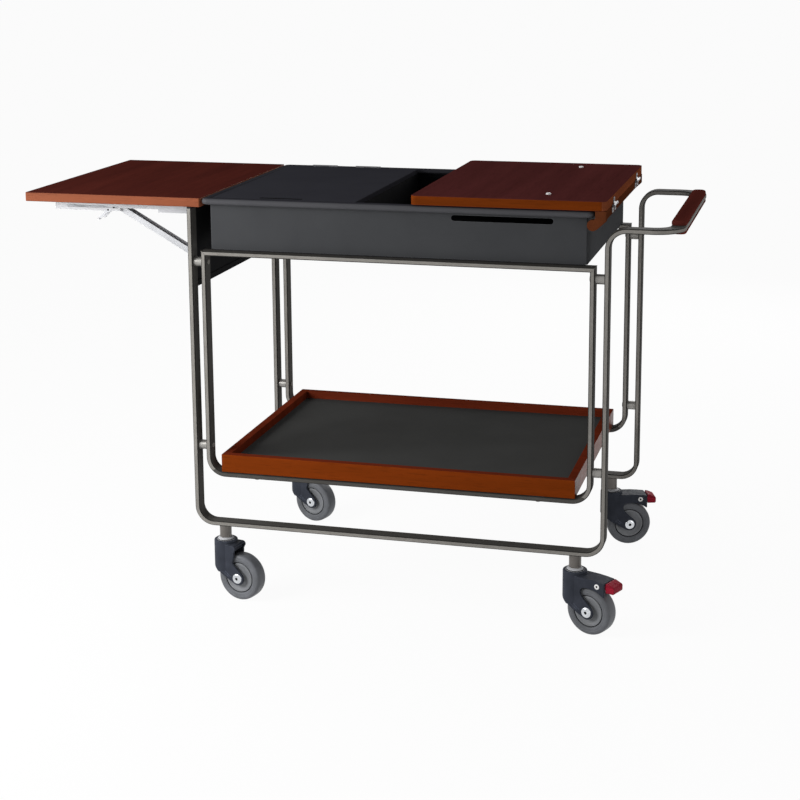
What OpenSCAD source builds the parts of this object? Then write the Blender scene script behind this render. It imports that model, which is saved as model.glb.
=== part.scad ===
// Flambe cart: a side table on four swivel casters with a fold-down leaf, a lift-up lid over one
// half of a shallow well, and a board that flips over from the well onto the push handle.
// X runs along the cart to the push handle, Y from the near side to the far side, Z up.
// The origin lies on the floor, in the middle of the overall length and width.

/* [Side frames] */
// Thickness of the flat tube, seen from the side of the cart
tube_t = 10; // [8:1:14]
// Width of the flat tube, across the cart
tube_w = 30; // [26:1:36]
// Wall of the flat tube
tube_wall = 1.5; // [1:0.25:2]
// Rounding of the tube's long edges
tube_edge_r = 2.5; // [1:0.5:4]
// Width of the cart over both side frames
frame_w = 550; // [480:10:620]
// Distance between the centre lines of the outer posts
outer_span = 866; // [840:2:960]
// Gap between an outer post and the inner post beside it
stud_gap = 18.5; // [14:0.5:24]
// Centre line radius of the frame's bends
bend_r = 36; // [28:1:44]
// Height of the inner loop
loop_h = 484; // [420:2:560]
// Rise from the underside of the outer frame to the underside of the inner loop
loop_rise = 109.5; // [90:0.5:130]
// Diameter of the studs that join the posts
stud_d = 20; // [16:1:24]
// Distance of the lower studs above the inner loop's underside
stud_low = 64.5; // [60:0.5:100]
// Distance of the upper studs below the inner loop's top
stud_high = 25; // [20:0.5:60]
// Thread diameter of the frame's bolts
bolt_d = 6; // [5:0.5:7]
// Diameter of the bolt heads
bolt_head_d = 10; // [9:0.5:11]
// Height of the bolt heads
bolt_head_h = 2; // [2:0.5:4]
// Thickness of the caps on the left posts
cap_t = 3; // [2:0.5:5]
// Depth of the caps' plugs
cap_plug = 8; // [5:1:15]

/* [Push handle] */
// Distance from the right outer posts to the middle of the handle's cross run
handle_reach = 130; // [120:1:160]
// Depth of the handle's centre line below the worktop
handle_drop = 35.8; // [34:0.2:40]
// Radius of the bends from the posts into the arms
arm_bend_r = 37; // [30:1:42]
// Centre line radius of the handle's two corners
corner_r = 45; // [40:1:55]
// Thickness of the grip's lower half
grip_low_t = 8; // [6:0.5:10]
// Rounding of the grip's long edges
grip_edge_r = 3.5; // [2:0.5:5]
// Rounding of the grip's corners, seen from above
grip_corner_r = 8; // [4:1:14]

/* [Tray] */
// Distance of the tray's ends inside the centre lines of the inner posts
tray_end = 28.5; // [24:0.5:60]
// Inset of the tray's side from the frame's side face
tray_inset = 1; // [0.5:0.5:4]
// Height of the tray's rails
tray_h = 38; // [30:1:60]
// Thickness of the tray's rails
rail_t = 17; // [12:0.5:22]
// Depth of the tray's floor below the rails' top
tray_depth = 17; // [10:0.5:24]
// Thickness of the tray's floor
tray_floor_t = 4; // [3:0.5:8]
// Thickness of the pads under the tray
tray_pad_t = 1.2; // [1:0.1:2]
// Length of the pads under the tray
tray_pad_l = 30; // [20:1:60]

/* [Well] */
// Distance of the box's ends inside the centre lines of the outer posts
box_end = 41; // [39:0.5:60]
// Inset of the box's side from the frame's side face
box_side = 16; // [14:0.5:25]
// Height of the well's box
box_h = 94; // [80:1:120]
// Thickness of the sheet that the box is made of
sheet_t = 2; // [1:0.5:3]
// Thickness of the pads under the box
box_pad_t = 2.5; // [1.5:0.5:5]
// Length of the pads under the box
box_pad_l = 40; // [20:1:80]
// Width of the pads under the box
box_pad_w = 12; // [9:0.5:13]
// Distance of the pads and their bolts inside the centre lines of the outer posts
pad_in = 133; // [100:1:230]
// Thickness of the rim around the well
rim_t = 13.3; // [10:0.1:16]
// Overhang of the rim past the box
rim_out = 16; // [12:0.5:20]
// Rounding of the rim's corners, seen from above
rim_corner_r = 15; // [14:0.5:17]
// Left end of the slot in the front of the box
slot_x0 = 118; // [60:1:160]
// Length of the slot in the front of the box
slot_l = 206; // [120:1:240]
// Height of the slot in the front of the box
slot_h = 12; // [8:0.5:20]
// Distance of the slot below the rim
slot_drop = 5; // [3:0.5:12]

/* [Lid] */
// Length of the lid
lid_l = 308; // [240:1:340]
// Thickness of the lid
lid_t = 10; // [6:0.5:12]
// Gap between the lid and the rim at its left and front
lid_gap = 1; // [0.5:0.1:2]
// Gap behind the lid, where its hinges sit
lid_rear_gap = 5; // [4.5:0.1:6]
// Length of the finger slot
finger_l = 93; // [60:1:120]
// Width of the finger slot
finger_w = 12; // [10:0.5:20]
// Distance of the finger slot from the lid's front edge
finger_in = 10; // [8:0.5:20]
// Distance of the finger slot from the lid's left edge
finger_x = 99; // [60:1:160]
// Length of a lid hinge
lid_hinge_l = 60; // [40:1:80]
// Distance between the two lid hinges
lid_hinge_pitch = 104; // [90:1:160]
// Distance of the left lid hinge from the lid's left edge
lid_hinge_x = 85.5; // [50:0.5:120]
// Diameter of the lid hinges' knuckles
lid_knuckle_d = 4.4; // [4:0.1:4.4]
// Diameter of the lid hinges' pins
lid_pin_d = 2; // [1.6:0.1:2.4]

/* [Flip board] */
// Length of the board
board_l = 391; // [360:1:400]
// Thickness of the board
board_t = 19; // [16:0.5:22]
// Overhang of the board past the rim's side
board_out = 3; // [1:0.5:8]
// Thickness of the pads between the rim and the board
board_pad_t = 2; // [1:0.5:4]
// Diameter of the pads between the rim and the board
board_pad_d = 10; // [8:0.5:10.5]
// Distance of these pads from the board's left end
board_pad_x = 21; // [12:1:60]
// Width of the fixed rail that carries the board's hinges
hinge_rail_w = 21.7; // [18:0.1:26]
// Height of the fixed rail
hinge_rail_h = 17; // [14:0.5:20]
// Thickness of the end pieces of the fixed rail
lug_t = 14; // [8:0.5:20]
// Distance of the end pieces' outer faces inside the board's side
lug_in = 2; // [1:0.5:6]
// Radius of the round lobe under each end piece
lobe_r = 11; // [9:0.5:12]
// Distance of the board's hinge line past the board's end
hinge_out = 3.5; // [3.4:0.1:4.5]
// Diameter of the board hinges' knuckles
knuckle_d = 5.6; // [5:0.1:6]
// Diameter of the board hinges' pins
hinge_pin_d = 2.6; // [2:0.1:3]
// Length of a board hinge
board_hinge_l = 50; // [36:1:70]
// Distance of the board hinges from the cart's middle
board_hinge_y = 175; // [120:1:210]
// Height of a hinge leaf
hinge_leaf_h = 14; // [10:0.5:14]
// Thickness of a hinge leaf
hinge_leaf_t = 1.2; // [1:0.1:1.5]
// Diameter of the bumpers on the board
bumper_d = 10; // [8:0.5:20]
// Height of the bumpers
bumper_h = 3; // [2:0.5:5]
// Distance of the bumpers inside the ends of the grip
bumper_in = 10; // [10:1:60]
// Width of the steel angles under the fixed rail
angle_w = 30; // [20:1:50]
// Distance of the steel angles from the cart's middle
angle_y = 110; // [60:1:140]
// Height of the steel angles' legs on the box
angle_h = 22; // [15:1:40]

/* [Fold-down leaf] */
// Length of the leaf
leaf_l = 393; // [370:1:430]
// Inset of the leaf's side from the rim's side
leaf_in = 2.5; // [0:0.5:20]
// Thickness of the leaf
leaf_t = 19; // [16:0.5:19.5]
// Gap between the leaf and the rim
leaf_gap = 2; // [1:0.5:4]
// Rounding of the leaf's and the board's corners, seen from above
wood_corner_r = 3; // [1:0.5:8]
// Width of the end panel that carries the brackets, from top to bottom
panel_h = 170; // [160:1:220]
// Height of the hem along the end panel's bottom edge
hem_h = 12; // [8:1:20]
// Distance of the brackets inside the centre lines of the posts
bracket_in = 39; // [37:1:80]
// Thickness of the brackets' steel
steel_t = 2; // [1.5:0.25:2]
// Outer width of a shelf arm
arm_w = 34; // [33:0.5:40]
// Height of a shelf arm
arm_h = 20; // [18:0.5:21]
// Length of a shelf arm past its pivot
arm_l = 306; // [296:1:320]
// Depth of a shelf arm's pivot below the leaf
pivot_drop = 13.2; // [13:0.1:14]
// Depth of a wall arm, from the panel to its open side
wall_arm_d = 18.5; // [17.5:0.5:19]
// Height of a wall arm
wall_arm_h = 148; // [130:1:149]
// Distance of a strut's lower pivot below the upper one
strut_drop = 90; // [80:1:100]
// Distance from a shelf arm's pivot to the strut's upper end when the leaf is open
strut_seat = 164; // [150:1:180]
// Height of a strut's channel
strut_h = 12; // [11:0.5:12.5]
// Diameter of the strut's pins
strut_pin_d = 6; // [5:0.5:6.5]
// Diameter of the shelf arms' pivot pins
pivot_d = 8; // [6:0.5:8.5]
// Length of the cut in the shelf arms' lower edge
notch_l = 86; // [40:1:90]
// Distance of that cut from the pivot
notch_x = 72; // [60:1:74]

/* [Casters] */
// Diameter of a wheel
wheel_d = 100; // [90:1:110]
// Width of a wheel
wheel_w = 32; // [28:1:32]
// Diameter of a hub
hub_d = 72; // [60:1:76]
// Distance between a caster's swivel line and its axle
trail = 40; // [34:1:46]
// Gap between the wheel's top and the crown of the fork
crown_gap = 4; // [3:0.5:8]
// Height of the fork's crown
crown_h = 24; // [20:1:30]
// Outer width of a fork
fork_w = 44; // [43:0.5:50]
// Thickness of a fork's cheeks
cheek_t = 4; // [3:0.5:4]
// Diameter of the fork's head
head_d = 50; // [46:1:56]
// Diameter of the collar above the fork
collar_d = 34; // [28:1:40]
// Height of the collar
collar_h = 6; // [4:0.5:10]
// Diameter of a caster's stem
stem_d = 25; // [20:1:26]
// Height of a caster's stem
stem_h = 25; // [20:1:40]
// Diameter of the swivel pin
kingpin_d = 12; // [10:1:16]
// Distance of a caster inside the centre lines of the outer posts
caster_in = 57; // [53:1:100]
// Diameter of an axle bolt
axle_d = 10; // [8:0.5:12]
// Diameter of an axle bolt's head
axle_head_d = 22; // [18:0.5:24]
// Height of a fork's head above its fender
fender_drop = 7; // [5:1:9]
// Length of a braked fork's fender past the swivel line
fender_l = 80; // [77:1:92]
// Length of a plain fork's stub past the swivel line
stub_l = 36; // [34:1:50]
// Distance of the brake pedal's pin past the swivel line
pedal_pin_x = 64; // [60:1:66]
// Distance of the brake pedal's end past the swivel line
pedal_l = 101; // [98:1:115]
// Width of the brake pedal
pedal_w = 35; // [30:1:35]
// Swivel of the near left caster, in degrees from the cart's length
swivel_nl = -13; // [-40:1:40]
// Swivel of the near right caster
swivel_nr = -22; // [-40:1:40]
// Swivel of the far right caster
swivel_fr = 19; // [-40:1:40]
// Swivel of the far left caster
swivel_fl = -18; // [-40:1:40]

/* [Hidden] */
$fn = 48;
// Radial clearance of pins and bolts that turn or slide in their holes
run_gap = 0.05;
// Radial clearance of bolts and plugs that stay put
bolt_gap = 0.1;
// Gap between faces that move past each other
face_gap = 0.3;
// Extra length of a cut past the face that it opens
over = 1;

// Heights, from the floor up
axle_z = wheel_d / 2;
crown_z0 = wheel_d + crown_gap;
fork_z1 = crown_z0 + crown_h;
stem_z0 = fork_z1 + collar_h;
outer_z0 = stem_z0 + stem_h;
inner_z0 = outer_z0 + loop_rise;
inner_z1 = inner_z0 + loop_h;
box_z0 = inner_z1 + box_pad_t;
rim_z0 = box_z0 + box_h;
top_z = rim_z0 + rim_t;
board_z0 = top_z + board_pad_t;
board_z1 = board_z0 + board_t;
arm_z = top_z - handle_drop;
tray_z0 = inner_z0 + tube_t + tray_pad_t;
leaf_z0 = top_z - leaf_t;
cap_z1 = leaf_z0 - face_gap;
post_z1 = cap_z1 - cap_t;

// Places along the cart, from the middle of the side frames
outer_x = outer_span / 2;
inner_x = outer_x - tube_t - stud_gap;
tray_l = 2 * (inner_x - tray_end);
box_l = outer_span - 2 * box_end;
pad_x = outer_x - pad_in;
caster_x = outer_x - caster_in;
rim_x = box_l / 2 + rim_out;
leaf_x1 = -rim_x - leaf_gap;
leaf_x0 = leaf_x1 - leaf_l;
rail_x0 = rim_x + face_gap;
rail_x1 = rail_x0 + hinge_rail_w;
board_x1 = rail_x1;
board_x0 = board_x1 - board_l;
hinge_x = board_x1 + hinge_out;
grip_x = outer_x + handle_reach;
bend_x = grip_x - corner_r;

// Places across the cart, from its middle
side_y = (frame_w - tube_w) / 2;
box_w = frame_w - 2 * box_side;
rim_y = box_w / 2 + rim_out;
leaf_w = 2 * (rim_y - leaf_in);
bracket_y = side_y - bracket_in;
bumper_y = side_y - corner_r - bumper_in;
board_y = rim_y + board_out;
lug_y1 = board_y - lug_in;
lug_y0 = lug_y1 - lug_t;
tray_y = frame_w / 2 - tray_inset;
pad_y = box_w / 2 - sheet_t - box_pad_w / 2;

// The grip's top takes the bumpers when the board is flipped over
flip_z = 2 * board_z0 - board_z1;
grip_z1 = flip_z - bumper_h - face_gap;
bumper_x = 2 * hinge_x - grip_x;

// The lid fills the left part of the rim
lid_x0 = -box_l / 2 + sheet_t + lid_gap;
lid_x1 = lid_x0 + lid_l;
lid_y0 = -box_w / 2 + sheet_t + lid_gap;
lid_y1 = box_w / 2 - sheet_t - lid_rear_gap;
lid_z0 = top_z - lid_t;
lid_axis_y = lid_y1 + lid_rear_gap / 2;
lid_axis_z = top_z + 1.2;
lid_leaf_t = 1;

// The leaf's brackets
panel_x1 = -outer_x;
panel_x0 = panel_x1 - sheet_t;
panel_z1 = leaf_z0 - 2.3;
panel_z0 = panel_z1 - panel_h;
pivot_z = leaf_z0 - pivot_drop;
pivot_x = panel_x0 - wall_arm_d / 2;
strut_x = pivot_x - 2;
strut_z = pivot_z - strut_drop;
seat_rise = 2;
strut_end = [pivot_x - strut_seat, pivot_z + seat_rise];
strut_run = [strut_x - strut_end[0], strut_end[1] - strut_z];
strut_l = norm(strut_run);
strut_tilt = atan2(strut_run[1], strut_run[0]);
strut_far = strut_drop + strut_l;
arm_in_w = arm_w - 2 * steel_t;
wall_arm_w = arm_in_w - 2;
wall_arm_in_w = wall_arm_w - 2 * steel_t;
strut_w = wall_arm_in_w - 2;
wall_arm_z1 = pivot_z + 8;
lever_t = 2;
lever_w = wall_arm_w;
lever_pin_d = 4;
lever_lead = 21.75;
lever_x = strut_seat + lever_lead;
lever_drop = 5;
web_start = 16;

// The casters: where they stand, how they are turned and which of them have a brake
swivels = [swivel_nl, swivel_nr, swivel_fr, swivel_fl];
caster_sides = [[-1, -1], [1, -1], [1, 1], [-1, 1]];
fork_in_w = fork_w - 2 * cheek_t;
plate_t = 3.5;
head_z0 = crown_z0 + 2;
fender_z1 = fork_z1 - fender_drop;
fender_knee = trail + 5;
fender_fall = 3;
stub_r = 7;
pedal_pin_z = crown_z0 + 6;
pedal_pin_d = 6;
rivet_d = 11;

// The overall middle: the leaf and the handle end the length, and the two pedals end the width
loop_x = (-leaf_x0 - grip_x - tube_w / 2) / 2;
near_reach = side_y - pedal_l * sin(swivel_nr) + pedal_w / 2 * cos(swivel_nr);
far_reach = max(board_y, side_y + pedal_l * sin(swivel_fr) + pedal_w / 2 * cos(swivel_fr));
middle_y = (near_reach - far_reach) / 2;

// Helpers

// Moves the cart from its side frames' middle to the overall middle
module place() {
    translate([loop_x, middle_y, 0])
        children();
}

// A rectangle with round corners, about the origin
module round_rect(w, h, r) {
    square([w - 2 * r, h], center = true);
    square([w, h - 2 * r], center = true);
    for (sx = [-1, 1])
        for (sy = [-1, 1])
            translate([sx * (w / 2 - r), sy * (h / 2 - r)])
                circle(r);
}

// A slot with round ends, about the origin and along x
module round_slot(l, w) {
    square([l - w, w], center = true);
    for (s = [-1, 1])
        translate([s * (l - w) / 2, 0])
            circle(w / 2);
}

// A block between two corners
module block(lo, hi) {
    translate(lo)
        cube(hi - lo);
}

// An outline drawn in x and z, extruded across the cart about y = 0
module across(w) {
    rotate([90, 0, 0])
        linear_extrude(w, center = true)
            children();
}

// A round bar or hole across the cart, about y = 0
module cross_pin(x, z, d, w) {
    translate([x, 0, z])
        rotate([90, 0, 0])
            cylinder(d = d, h = w, center = true);
}

// The child on the near side and mirrored on the far side
module both_sides() {
    for (s = [0, 1])
        mirror([0, s, 0])
            children();
}

// Side frames

module tube_section() {
    difference() {
        round_rect(tube_t, tube_w, tube_edge_r);
        round_rect(tube_t - 2 * tube_wall, tube_w - 2 * tube_wall, tube_edge_r - tube_wall / 2);
    }
}

module upright(x, z0, z1) {
    translate([x, 0, z0])
        linear_extrude(z1 - z0)
            tube_section();
}

module level_run(x0, x1, z) {
    translate([x0, 0, z])
        rotate([0, 90, 0])
            linear_extrude(x1 - x0)
                tube_section();
}

// A quarter bend about (x, z), from start degrees on
module tube_bend(x, z, r, start) {
    translate([x, 0, z])
        rotate([90, 0, 0])
            rotate([0, 0, start])
                rotate_extrude(angle = 90)
                    translate([r, 0])
                        tube_section();
}

// The holes for the bolts through the studs, on the sides of both posts
module stud_holes(d, x0, x1) {
    for (z = [inner_z0 + stud_low, inner_z1 - stud_high])
        for (s = [-1, 1])
            translate([s * (x0 + x1) / 2, 0, z])
                rotate([0, 90, 0])
                    cylinder(d = d, h = x1 - x0, center = true);
}

module outer_tube() {
    low = outer_z0 + tube_t / 2;
    difference() {
        translate([0, -side_y, 0]) {
            upright(-outer_x, low + bend_r, post_z1);
            tube_bend(bend_r - outer_x, low + bend_r, bend_r, 180);
            level_run(bend_r - outer_x, outer_x - bend_r, low);
            tube_bend(outer_x - bend_r, low + bend_r, bend_r, 270);
            upright(outer_x, low + bend_r, arm_z - arm_bend_r);
            tube_bend(outer_x + arm_bend_r, arm_z - arm_bend_r, arm_bend_r, 90);
            level_run(outer_x + arm_bend_r, bend_x, arm_z);
        }
        translate([0, -side_y, 0])
            stud_holes(bolt_d + 2 * bolt_gap, inner_x, outer_x);
    }
}

module outer_tube_near() {
    color("#a39f9b")
        outer_tube();
}

module outer_tube_far() {
    color("#a39f9b")
        mirror([0, 1, 0])
            outer_tube();
}

// The cross run of the handle, with its two corners
module handle_tube() {
    corner_y = side_y - corner_r;
    color("#a39f9b")
        translate([0, 0, arm_z]) {
            translate([grip_x, 0, 0])
                rotate([90, 0, 0])
                    linear_extrude(2 * corner_y, center = true)
                        rotate(90)
                            tube_section();
            both_sides()
                translate([bend_x, -corner_y, 0])
                    rotate([0, 0, -90])
                        rotate_extrude(angle = 90)
                            translate([corner_r, 0])
                                rotate(90)
                                    tube_section();
        }
}

// The weld that closes the mitre of an upper corner, slightly proud of the tube
module mitre_weld() {
    proud = 0.3;
    translate([-inner_x, 0, inner_z1 - tube_t / 2])
        rotate([0, 45, 0])
            linear_extrude(1, center = true)
                round_rect(sqrt(2) * tube_t + 2 * proud, tube_w + 2 * proud, tube_edge_r);
}

// The inner loop has round bends below and mitred corners above
module inner_loop() {
    low = inner_z0 + tube_t / 2;
    half = tube_t / 2;
    difference() {
        translate([0, -side_y, 0]) {
            for (s = [0, 1])
                mirror([s, 0, 0])
                    intersection() {
                        upright(-inner_x, low + bend_r, inner_z1);
                        across(tube_w + over)
                            polygon([
                                [-inner_x - half - over, low],
                                [-inner_x + half + over, low],
                                [-inner_x + half + over, inner_z1 - tube_t - over],
                                [-inner_x - half - over, inner_z1 + over]
                            ]);
                    }
            intersection() {
                level_run(-inner_x - half, inner_x + half, inner_z1 - half);
                across(tube_w + over)
                    polygon([
                        [-inner_x - half - over, inner_z1 + over],
                        [inner_x + half + over, inner_z1 + over],
                        [inner_x - half - over, inner_z1 - tube_t - over],
                        [-inner_x + half + over, inner_z1 - tube_t - over]
                    ]);
            }
            for (s = [0, 1])
                mirror([s, 0, 0])
                    mitre_weld();
            tube_bend(bend_r - inner_x, low + bend_r, bend_r, 180);
            tube_bend(inner_x - bend_r, low + bend_r, bend_r, 270);
            level_run(bend_r - inner_x, inner_x - bend_r, low);
        }
        translate([0, -side_y, 0])
            stud_holes(bolt_d + 2 * bolt_gap, inner_x - tube_t, outer_x);
        deck_shafts(bolt_d + 2 * bolt_gap, over);
        tray_shafts(bolt_d + 2 * bolt_gap, over);
    }
}

module inner_loop_near() {
    color("#8f8a86")
        inner_loop();
}

module inner_loop_far() {
    color("#8f8a86")
        mirror([0, 1, 0])
            inner_loop();
}

module frame_studs() {
    color("#8f8a86")
        both_sides()
            translate([0, -side_y, 0])
                difference() {
                    stud_holes(stud_d, inner_x + tube_t / 2, outer_x - tube_t / 2);
                    stud_holes(bolt_d + 2 * bolt_gap, inner_x, outer_x);
                }
}

// The near side's bolt shafts that go up through the upper bar into the box
module deck_shafts(d, more) {
    for (s = [-1, 1])
        translate([s * pad_x, -pad_y, inner_z1 - tube_t - more])
            cylinder(d = d, h = tube_t + box_pad_t + sheet_t - face_gap + 2 * more);
}

// The near side's bolt shafts that go up through the lower bar into the tray
module tray_shafts(d, more) {
    for (s = [-1, 1])
        translate([s * pad_x, rail_t / 2 - tray_y, inner_z0 - more])
            cylinder(d = d, h = tube_t + tray_pad_t + tray_depth / 2 + 2 * more);
}

module frame_bolts() {
    color("#b5b5b8")
        both_sides() {
            translate([0, -side_y, 0]) {
                stud_holes(bolt_d, inner_x - tube_t / 2, outer_x - tube_t / 2 + 2 * tube_wall);
                stud_holes(bolt_head_d, inner_x - tube_t / 2 - bolt_head_h, inner_x - tube_t / 2);
            }
            deck_shafts(bolt_d, 0);
            tray_shafts(bolt_d, 0);
            for (s = [-1, 1]) {
                translate([s * pad_x, -pad_y, inner_z1 - tube_t - bolt_head_h])
                    cylinder(d = bolt_head_d, h = bolt_head_h);
                translate([s * pad_x, rail_t / 2 - tray_y, inner_z0 - bolt_head_h])
                    cylinder(d = bolt_head_d, h = bolt_head_h);
            }
        }
}

module post_caps() {
    plug_t = tube_t - 2 * tube_wall - 2 * bolt_gap;
    plug_w = tube_w - 2 * tube_wall - 2 * bolt_gap;
    color("#2b2b2d")
        both_sides()
            translate([-outer_x, -side_y, post_z1]) {
                linear_extrude(cap_t)
                    round_rect(tube_t, tube_w, tube_edge_r);
                translate([0, 0, -cap_plug])
                    linear_extrude(cap_plug)
                        round_rect(plug_t, plug_w, tube_edge_r - tube_wall / 2);
            }
}

// Push handle

// A grip half: a flat bar with long edges rounded on one face, cut to round corners
module grip_bar(t) {
    l = 2 * (side_y - corner_r);
    intersection() {
        rotate([90, 0, 0])
            linear_extrude(l, center = true)
                union() {
                    translate([-tube_w / 2, 0])
                        square([tube_w, t - grip_edge_r]);
                    translate([grip_edge_r - tube_w / 2, 0])
                        square([tube_w - 2 * grip_edge_r, t]);
                    for (s = [-1, 1])
                        translate([s * (tube_w / 2 - grip_edge_r), t - grip_edge_r])
                            circle(grip_edge_r);
                }
        linear_extrude(t)
            round_rect(tube_w, l, grip_corner_r);
    }
}

module grip_upper() {
    z0 = arm_z + tube_t / 2;
    color("#4f231b")
        translate([grip_x, 0, z0])
            grip_bar(grip_z1 - z0);
}

module grip_lower() {
    color("#4a2119")
        translate([grip_x, 0, arm_z - tube_t / 2])
            mirror([0, 0, 1])
                grip_bar(grip_low_t);
}

// Tray

// A straight rail from one mitred end to the other, along x
module mitred_rail(l) {
    translate([0, 0, tray_z0])
        linear_extrude(tray_h)
            polygon([
                [-l / 2, 0],
                [l / 2, 0],
                [l / 2 - rail_t, rail_t],
                [rail_t - l / 2, rail_t]
            ]);
}

module tray_sides() {
    color("#6f2e10")
        both_sides()
            difference() {
                translate([0, -tray_y, 0])
                    mitred_rail(tray_l);
                tray_shafts(bolt_d + 2 * bolt_gap, bolt_gap);
            }
}

module tray_ends() {
    color("#8f6a60")
        for (turn = [90, 270])
            rotate([0, 0, turn])
                translate([0, -tray_l / 2, 0])
                    mitred_rail(2 * tray_y);
}

module tray_floor() {
    z1 = tray_z0 + tray_h - tray_depth;
    x = tray_l / 2 - rail_t;
    y = tray_y - rail_t;
    color("#232427")
        block([-x, -y, z1 - tray_floor_t], [x, y, z1]);
}

// The pads that the tray, the box and the flip board rest on
module seat_pads() {
    color("#1d1d1f") {
        both_sides()
            difference() {
                for (s = [-1, 1]) {
                    translate([s * pad_x, rail_t / 2 - tray_y, tray_z0 - tray_pad_t / 2])
                        cube([tray_pad_l, rail_t, tray_pad_t], center = true);
                    translate([s * pad_x, -pad_y, box_z0 - box_pad_t / 2])
                        cube([box_pad_l, box_pad_w, box_pad_t], center = true);
                }
                tray_shafts(bolt_d + 2 * bolt_gap, 0);
                deck_shafts(bolt_d + 2 * bolt_gap, 0);
            }
        both_sides()
            translate([board_x0 + board_pad_x, -box_w / 2 + sheet_t - board_pad_d / 2, top_z])
                cylinder(d = board_pad_d, h = board_pad_t);
    }
}

// Well

// The sheet between the left posts that carries the leaf's brackets
module end_panel() {
    y = side_y - tube_w / 2;
    color("#3a3a3f") {
        block([panel_x0, -y, panel_z0], [panel_x1, y, panel_z1]);
        block([panel_x1, -y, panel_z0], [panel_x1 + sheet_t, y, panel_z0 + hem_h]);
    }
}

module front_panel() {
    z = rim_z0 - slot_drop - slot_h / 2;
    color("#505357")
        difference() {
            block([-box_l / 2, -box_w / 2, box_z0], [box_l / 2, sheet_t - box_w / 2, rim_z0]);
            translate([slot_x0 + slot_l / 2, -box_w / 2, z])
                across(4 * sheet_t)
                    round_slot(slot_l, slot_h);
        }
}

module back_panel() {
    color("#505357")
        block([-box_l / 2, box_w / 2 - sheet_t, box_z0], [box_l / 2, box_w / 2, rim_z0]);
}

module side_panels() {
    y = box_w / 2 - sheet_t;
    color("#3b3e43")
        for (s = [0, 1])
            mirror([s, 0, 0])
                block([-box_l / 2, -y, box_z0], [sheet_t - box_l / 2, y, rim_z0]);
}

module box_floor() {
    x = box_l / 2 - sheet_t;
    y = box_w / 2 - sheet_t;
    color("#151517")
        difference() {
            block([-x, -y, box_z0], [x, y, box_z0 + sheet_t]);
            both_sides()
                deck_shafts(bolt_d + 2 * bolt_gap, over);
        }
}

// The divider stands under the lid's right edge and carries it
module box_divider() {
    y = box_w / 2 - sheet_t;
    color("#151517")
        block([lid_x1 - sheet_t, -y, box_z0 + sheet_t], [lid_x1, y, lid_z0]);
}

// The rim has a half-round outer edge all the way round
module top_rim() {
    r = rim_t / 2;
    x = rim_x - r;
    y = rim_y - r;
    turn_r = rim_corner_r - r;
    color("#5a5a5d")
        difference() {
            translate([0, 0, rim_z0 + r]) {
                linear_extrude(rim_t, center = true)
                    round_rect(2 * x, 2 * y, turn_r);
                for (s = [-1, 1]) {
                    translate([0, s * y, 0])
                        rotate([0, 90, 0])
                            cylinder(r = r, h = 2 * (x - turn_r), center = true);
                    translate([s * x, 0, 0])
                        rotate([90, 0, 0])
                            cylinder(r = r, h = 2 * (y - turn_r), center = true);
                }
                for (corner = [0 : 3])
                    translate([
                        (corner == 0 || corner == 3 ? 1 : -1) * (x - turn_r),
                        (corner < 2 ? 1 : -1) * (y - turn_r),
                        0
                    ])
                        rotate([0, 0, 90 * corner])
                            rotate_extrude(angle = 90)
                                translate([turn_r, 0])
                                    circle(r);
            }
            block(
                [sheet_t - box_l / 2, sheet_t - box_w / 2, rim_z0 - over],
                [box_l / 2 - sheet_t, box_w / 2 - sheet_t, top_z + over]
            );
        }
}

// Lid

module lid() {
    x = lid_x0 + finger_x + finger_l / 2;
    y = lid_y0 + finger_in + finger_w / 2;
    color("#2a2a2e")
        difference() {
            block([lid_x0, lid_y0, lid_z0], [lid_x1, lid_y1, top_z]);
            translate([x, y, lid_z0 - over])
                linear_extrude(lid_t + 2 * over)
                    round_slot(finger_l, finger_w);
        }
}

// One knuckle of a lid hinge, with the child shape joined to it
module lid_knuckle(x, l) {
    difference() {
        union() {
            translate([x, lid_axis_y, lid_axis_z])
                rotate([0, 90, 0])
                    cylinder(d = lid_knuckle_d, h = l, center = true);
            children();
        }
        translate([x, lid_axis_y, lid_axis_z])
            rotate([0, 90, 0])
                cylinder(d = lid_pin_d + 2 * run_gap, h = l + over, center = true);
    }
}

module at_lid_hinges() {
    for (i = [0, 1])
        translate([lid_x0 + lid_hinge_x + i * lid_hinge_pitch, 0, 0])
            children();
}

// The fixed leaf stands on the inner edge of the rim and holds the middle knuckle
module lid_hinge_fixed() {
    y1 = box_w / 2 - sheet_t;
    l = lid_hinge_l / 3;
    color("#b9bbc0")
        at_lid_hinges()
            lid_knuckle(0, l)
                block([-l / 2, y1 - lid_leaf_t, rim_z0 + 1], [l / 2, y1, lid_axis_z]);
}

// The moving leaf lies on the lid's rear face and holds the two outer knuckles
module lid_hinge_moving() {
    l = lid_hinge_l / 3 - face_gap;
    color("#b9bbc0")
        at_lid_hinges()
            for (s = [-1, 1])
                lid_knuckle(s * lid_hinge_l / 3, l)
                    translate([s * lid_hinge_l / 3, 0, 0])
                        block(
                            [-l / 2, lid_y1, lid_z0 + 1],
                            [l / 2, lid_y1 + lid_leaf_t, lid_axis_z]
                        );
}

// The pins of the lid's hinges and of the flip board's hinges
module hinge_pins() {
    color("#d0d2d6") {
        at_lid_hinges()
            translate([0, lid_axis_y, lid_axis_z])
                rotate([0, 90, 0])
                    cylinder(d = lid_pin_d, h = lid_hinge_l, center = true);
        both_sides()
            translate([0, -board_hinge_y, 0])
                cross_pin(hinge_x, board_z0, hinge_pin_d, board_hinge_l);
    }
}

// Flip board

module flip_board() {
    color("#3d1d1b")
        translate([(board_x0 + board_x1) / 2, 0, board_z0])
            linear_extrude(board_t)
                round_rect(board_l, 2 * board_y, wood_corner_r);
}

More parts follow.
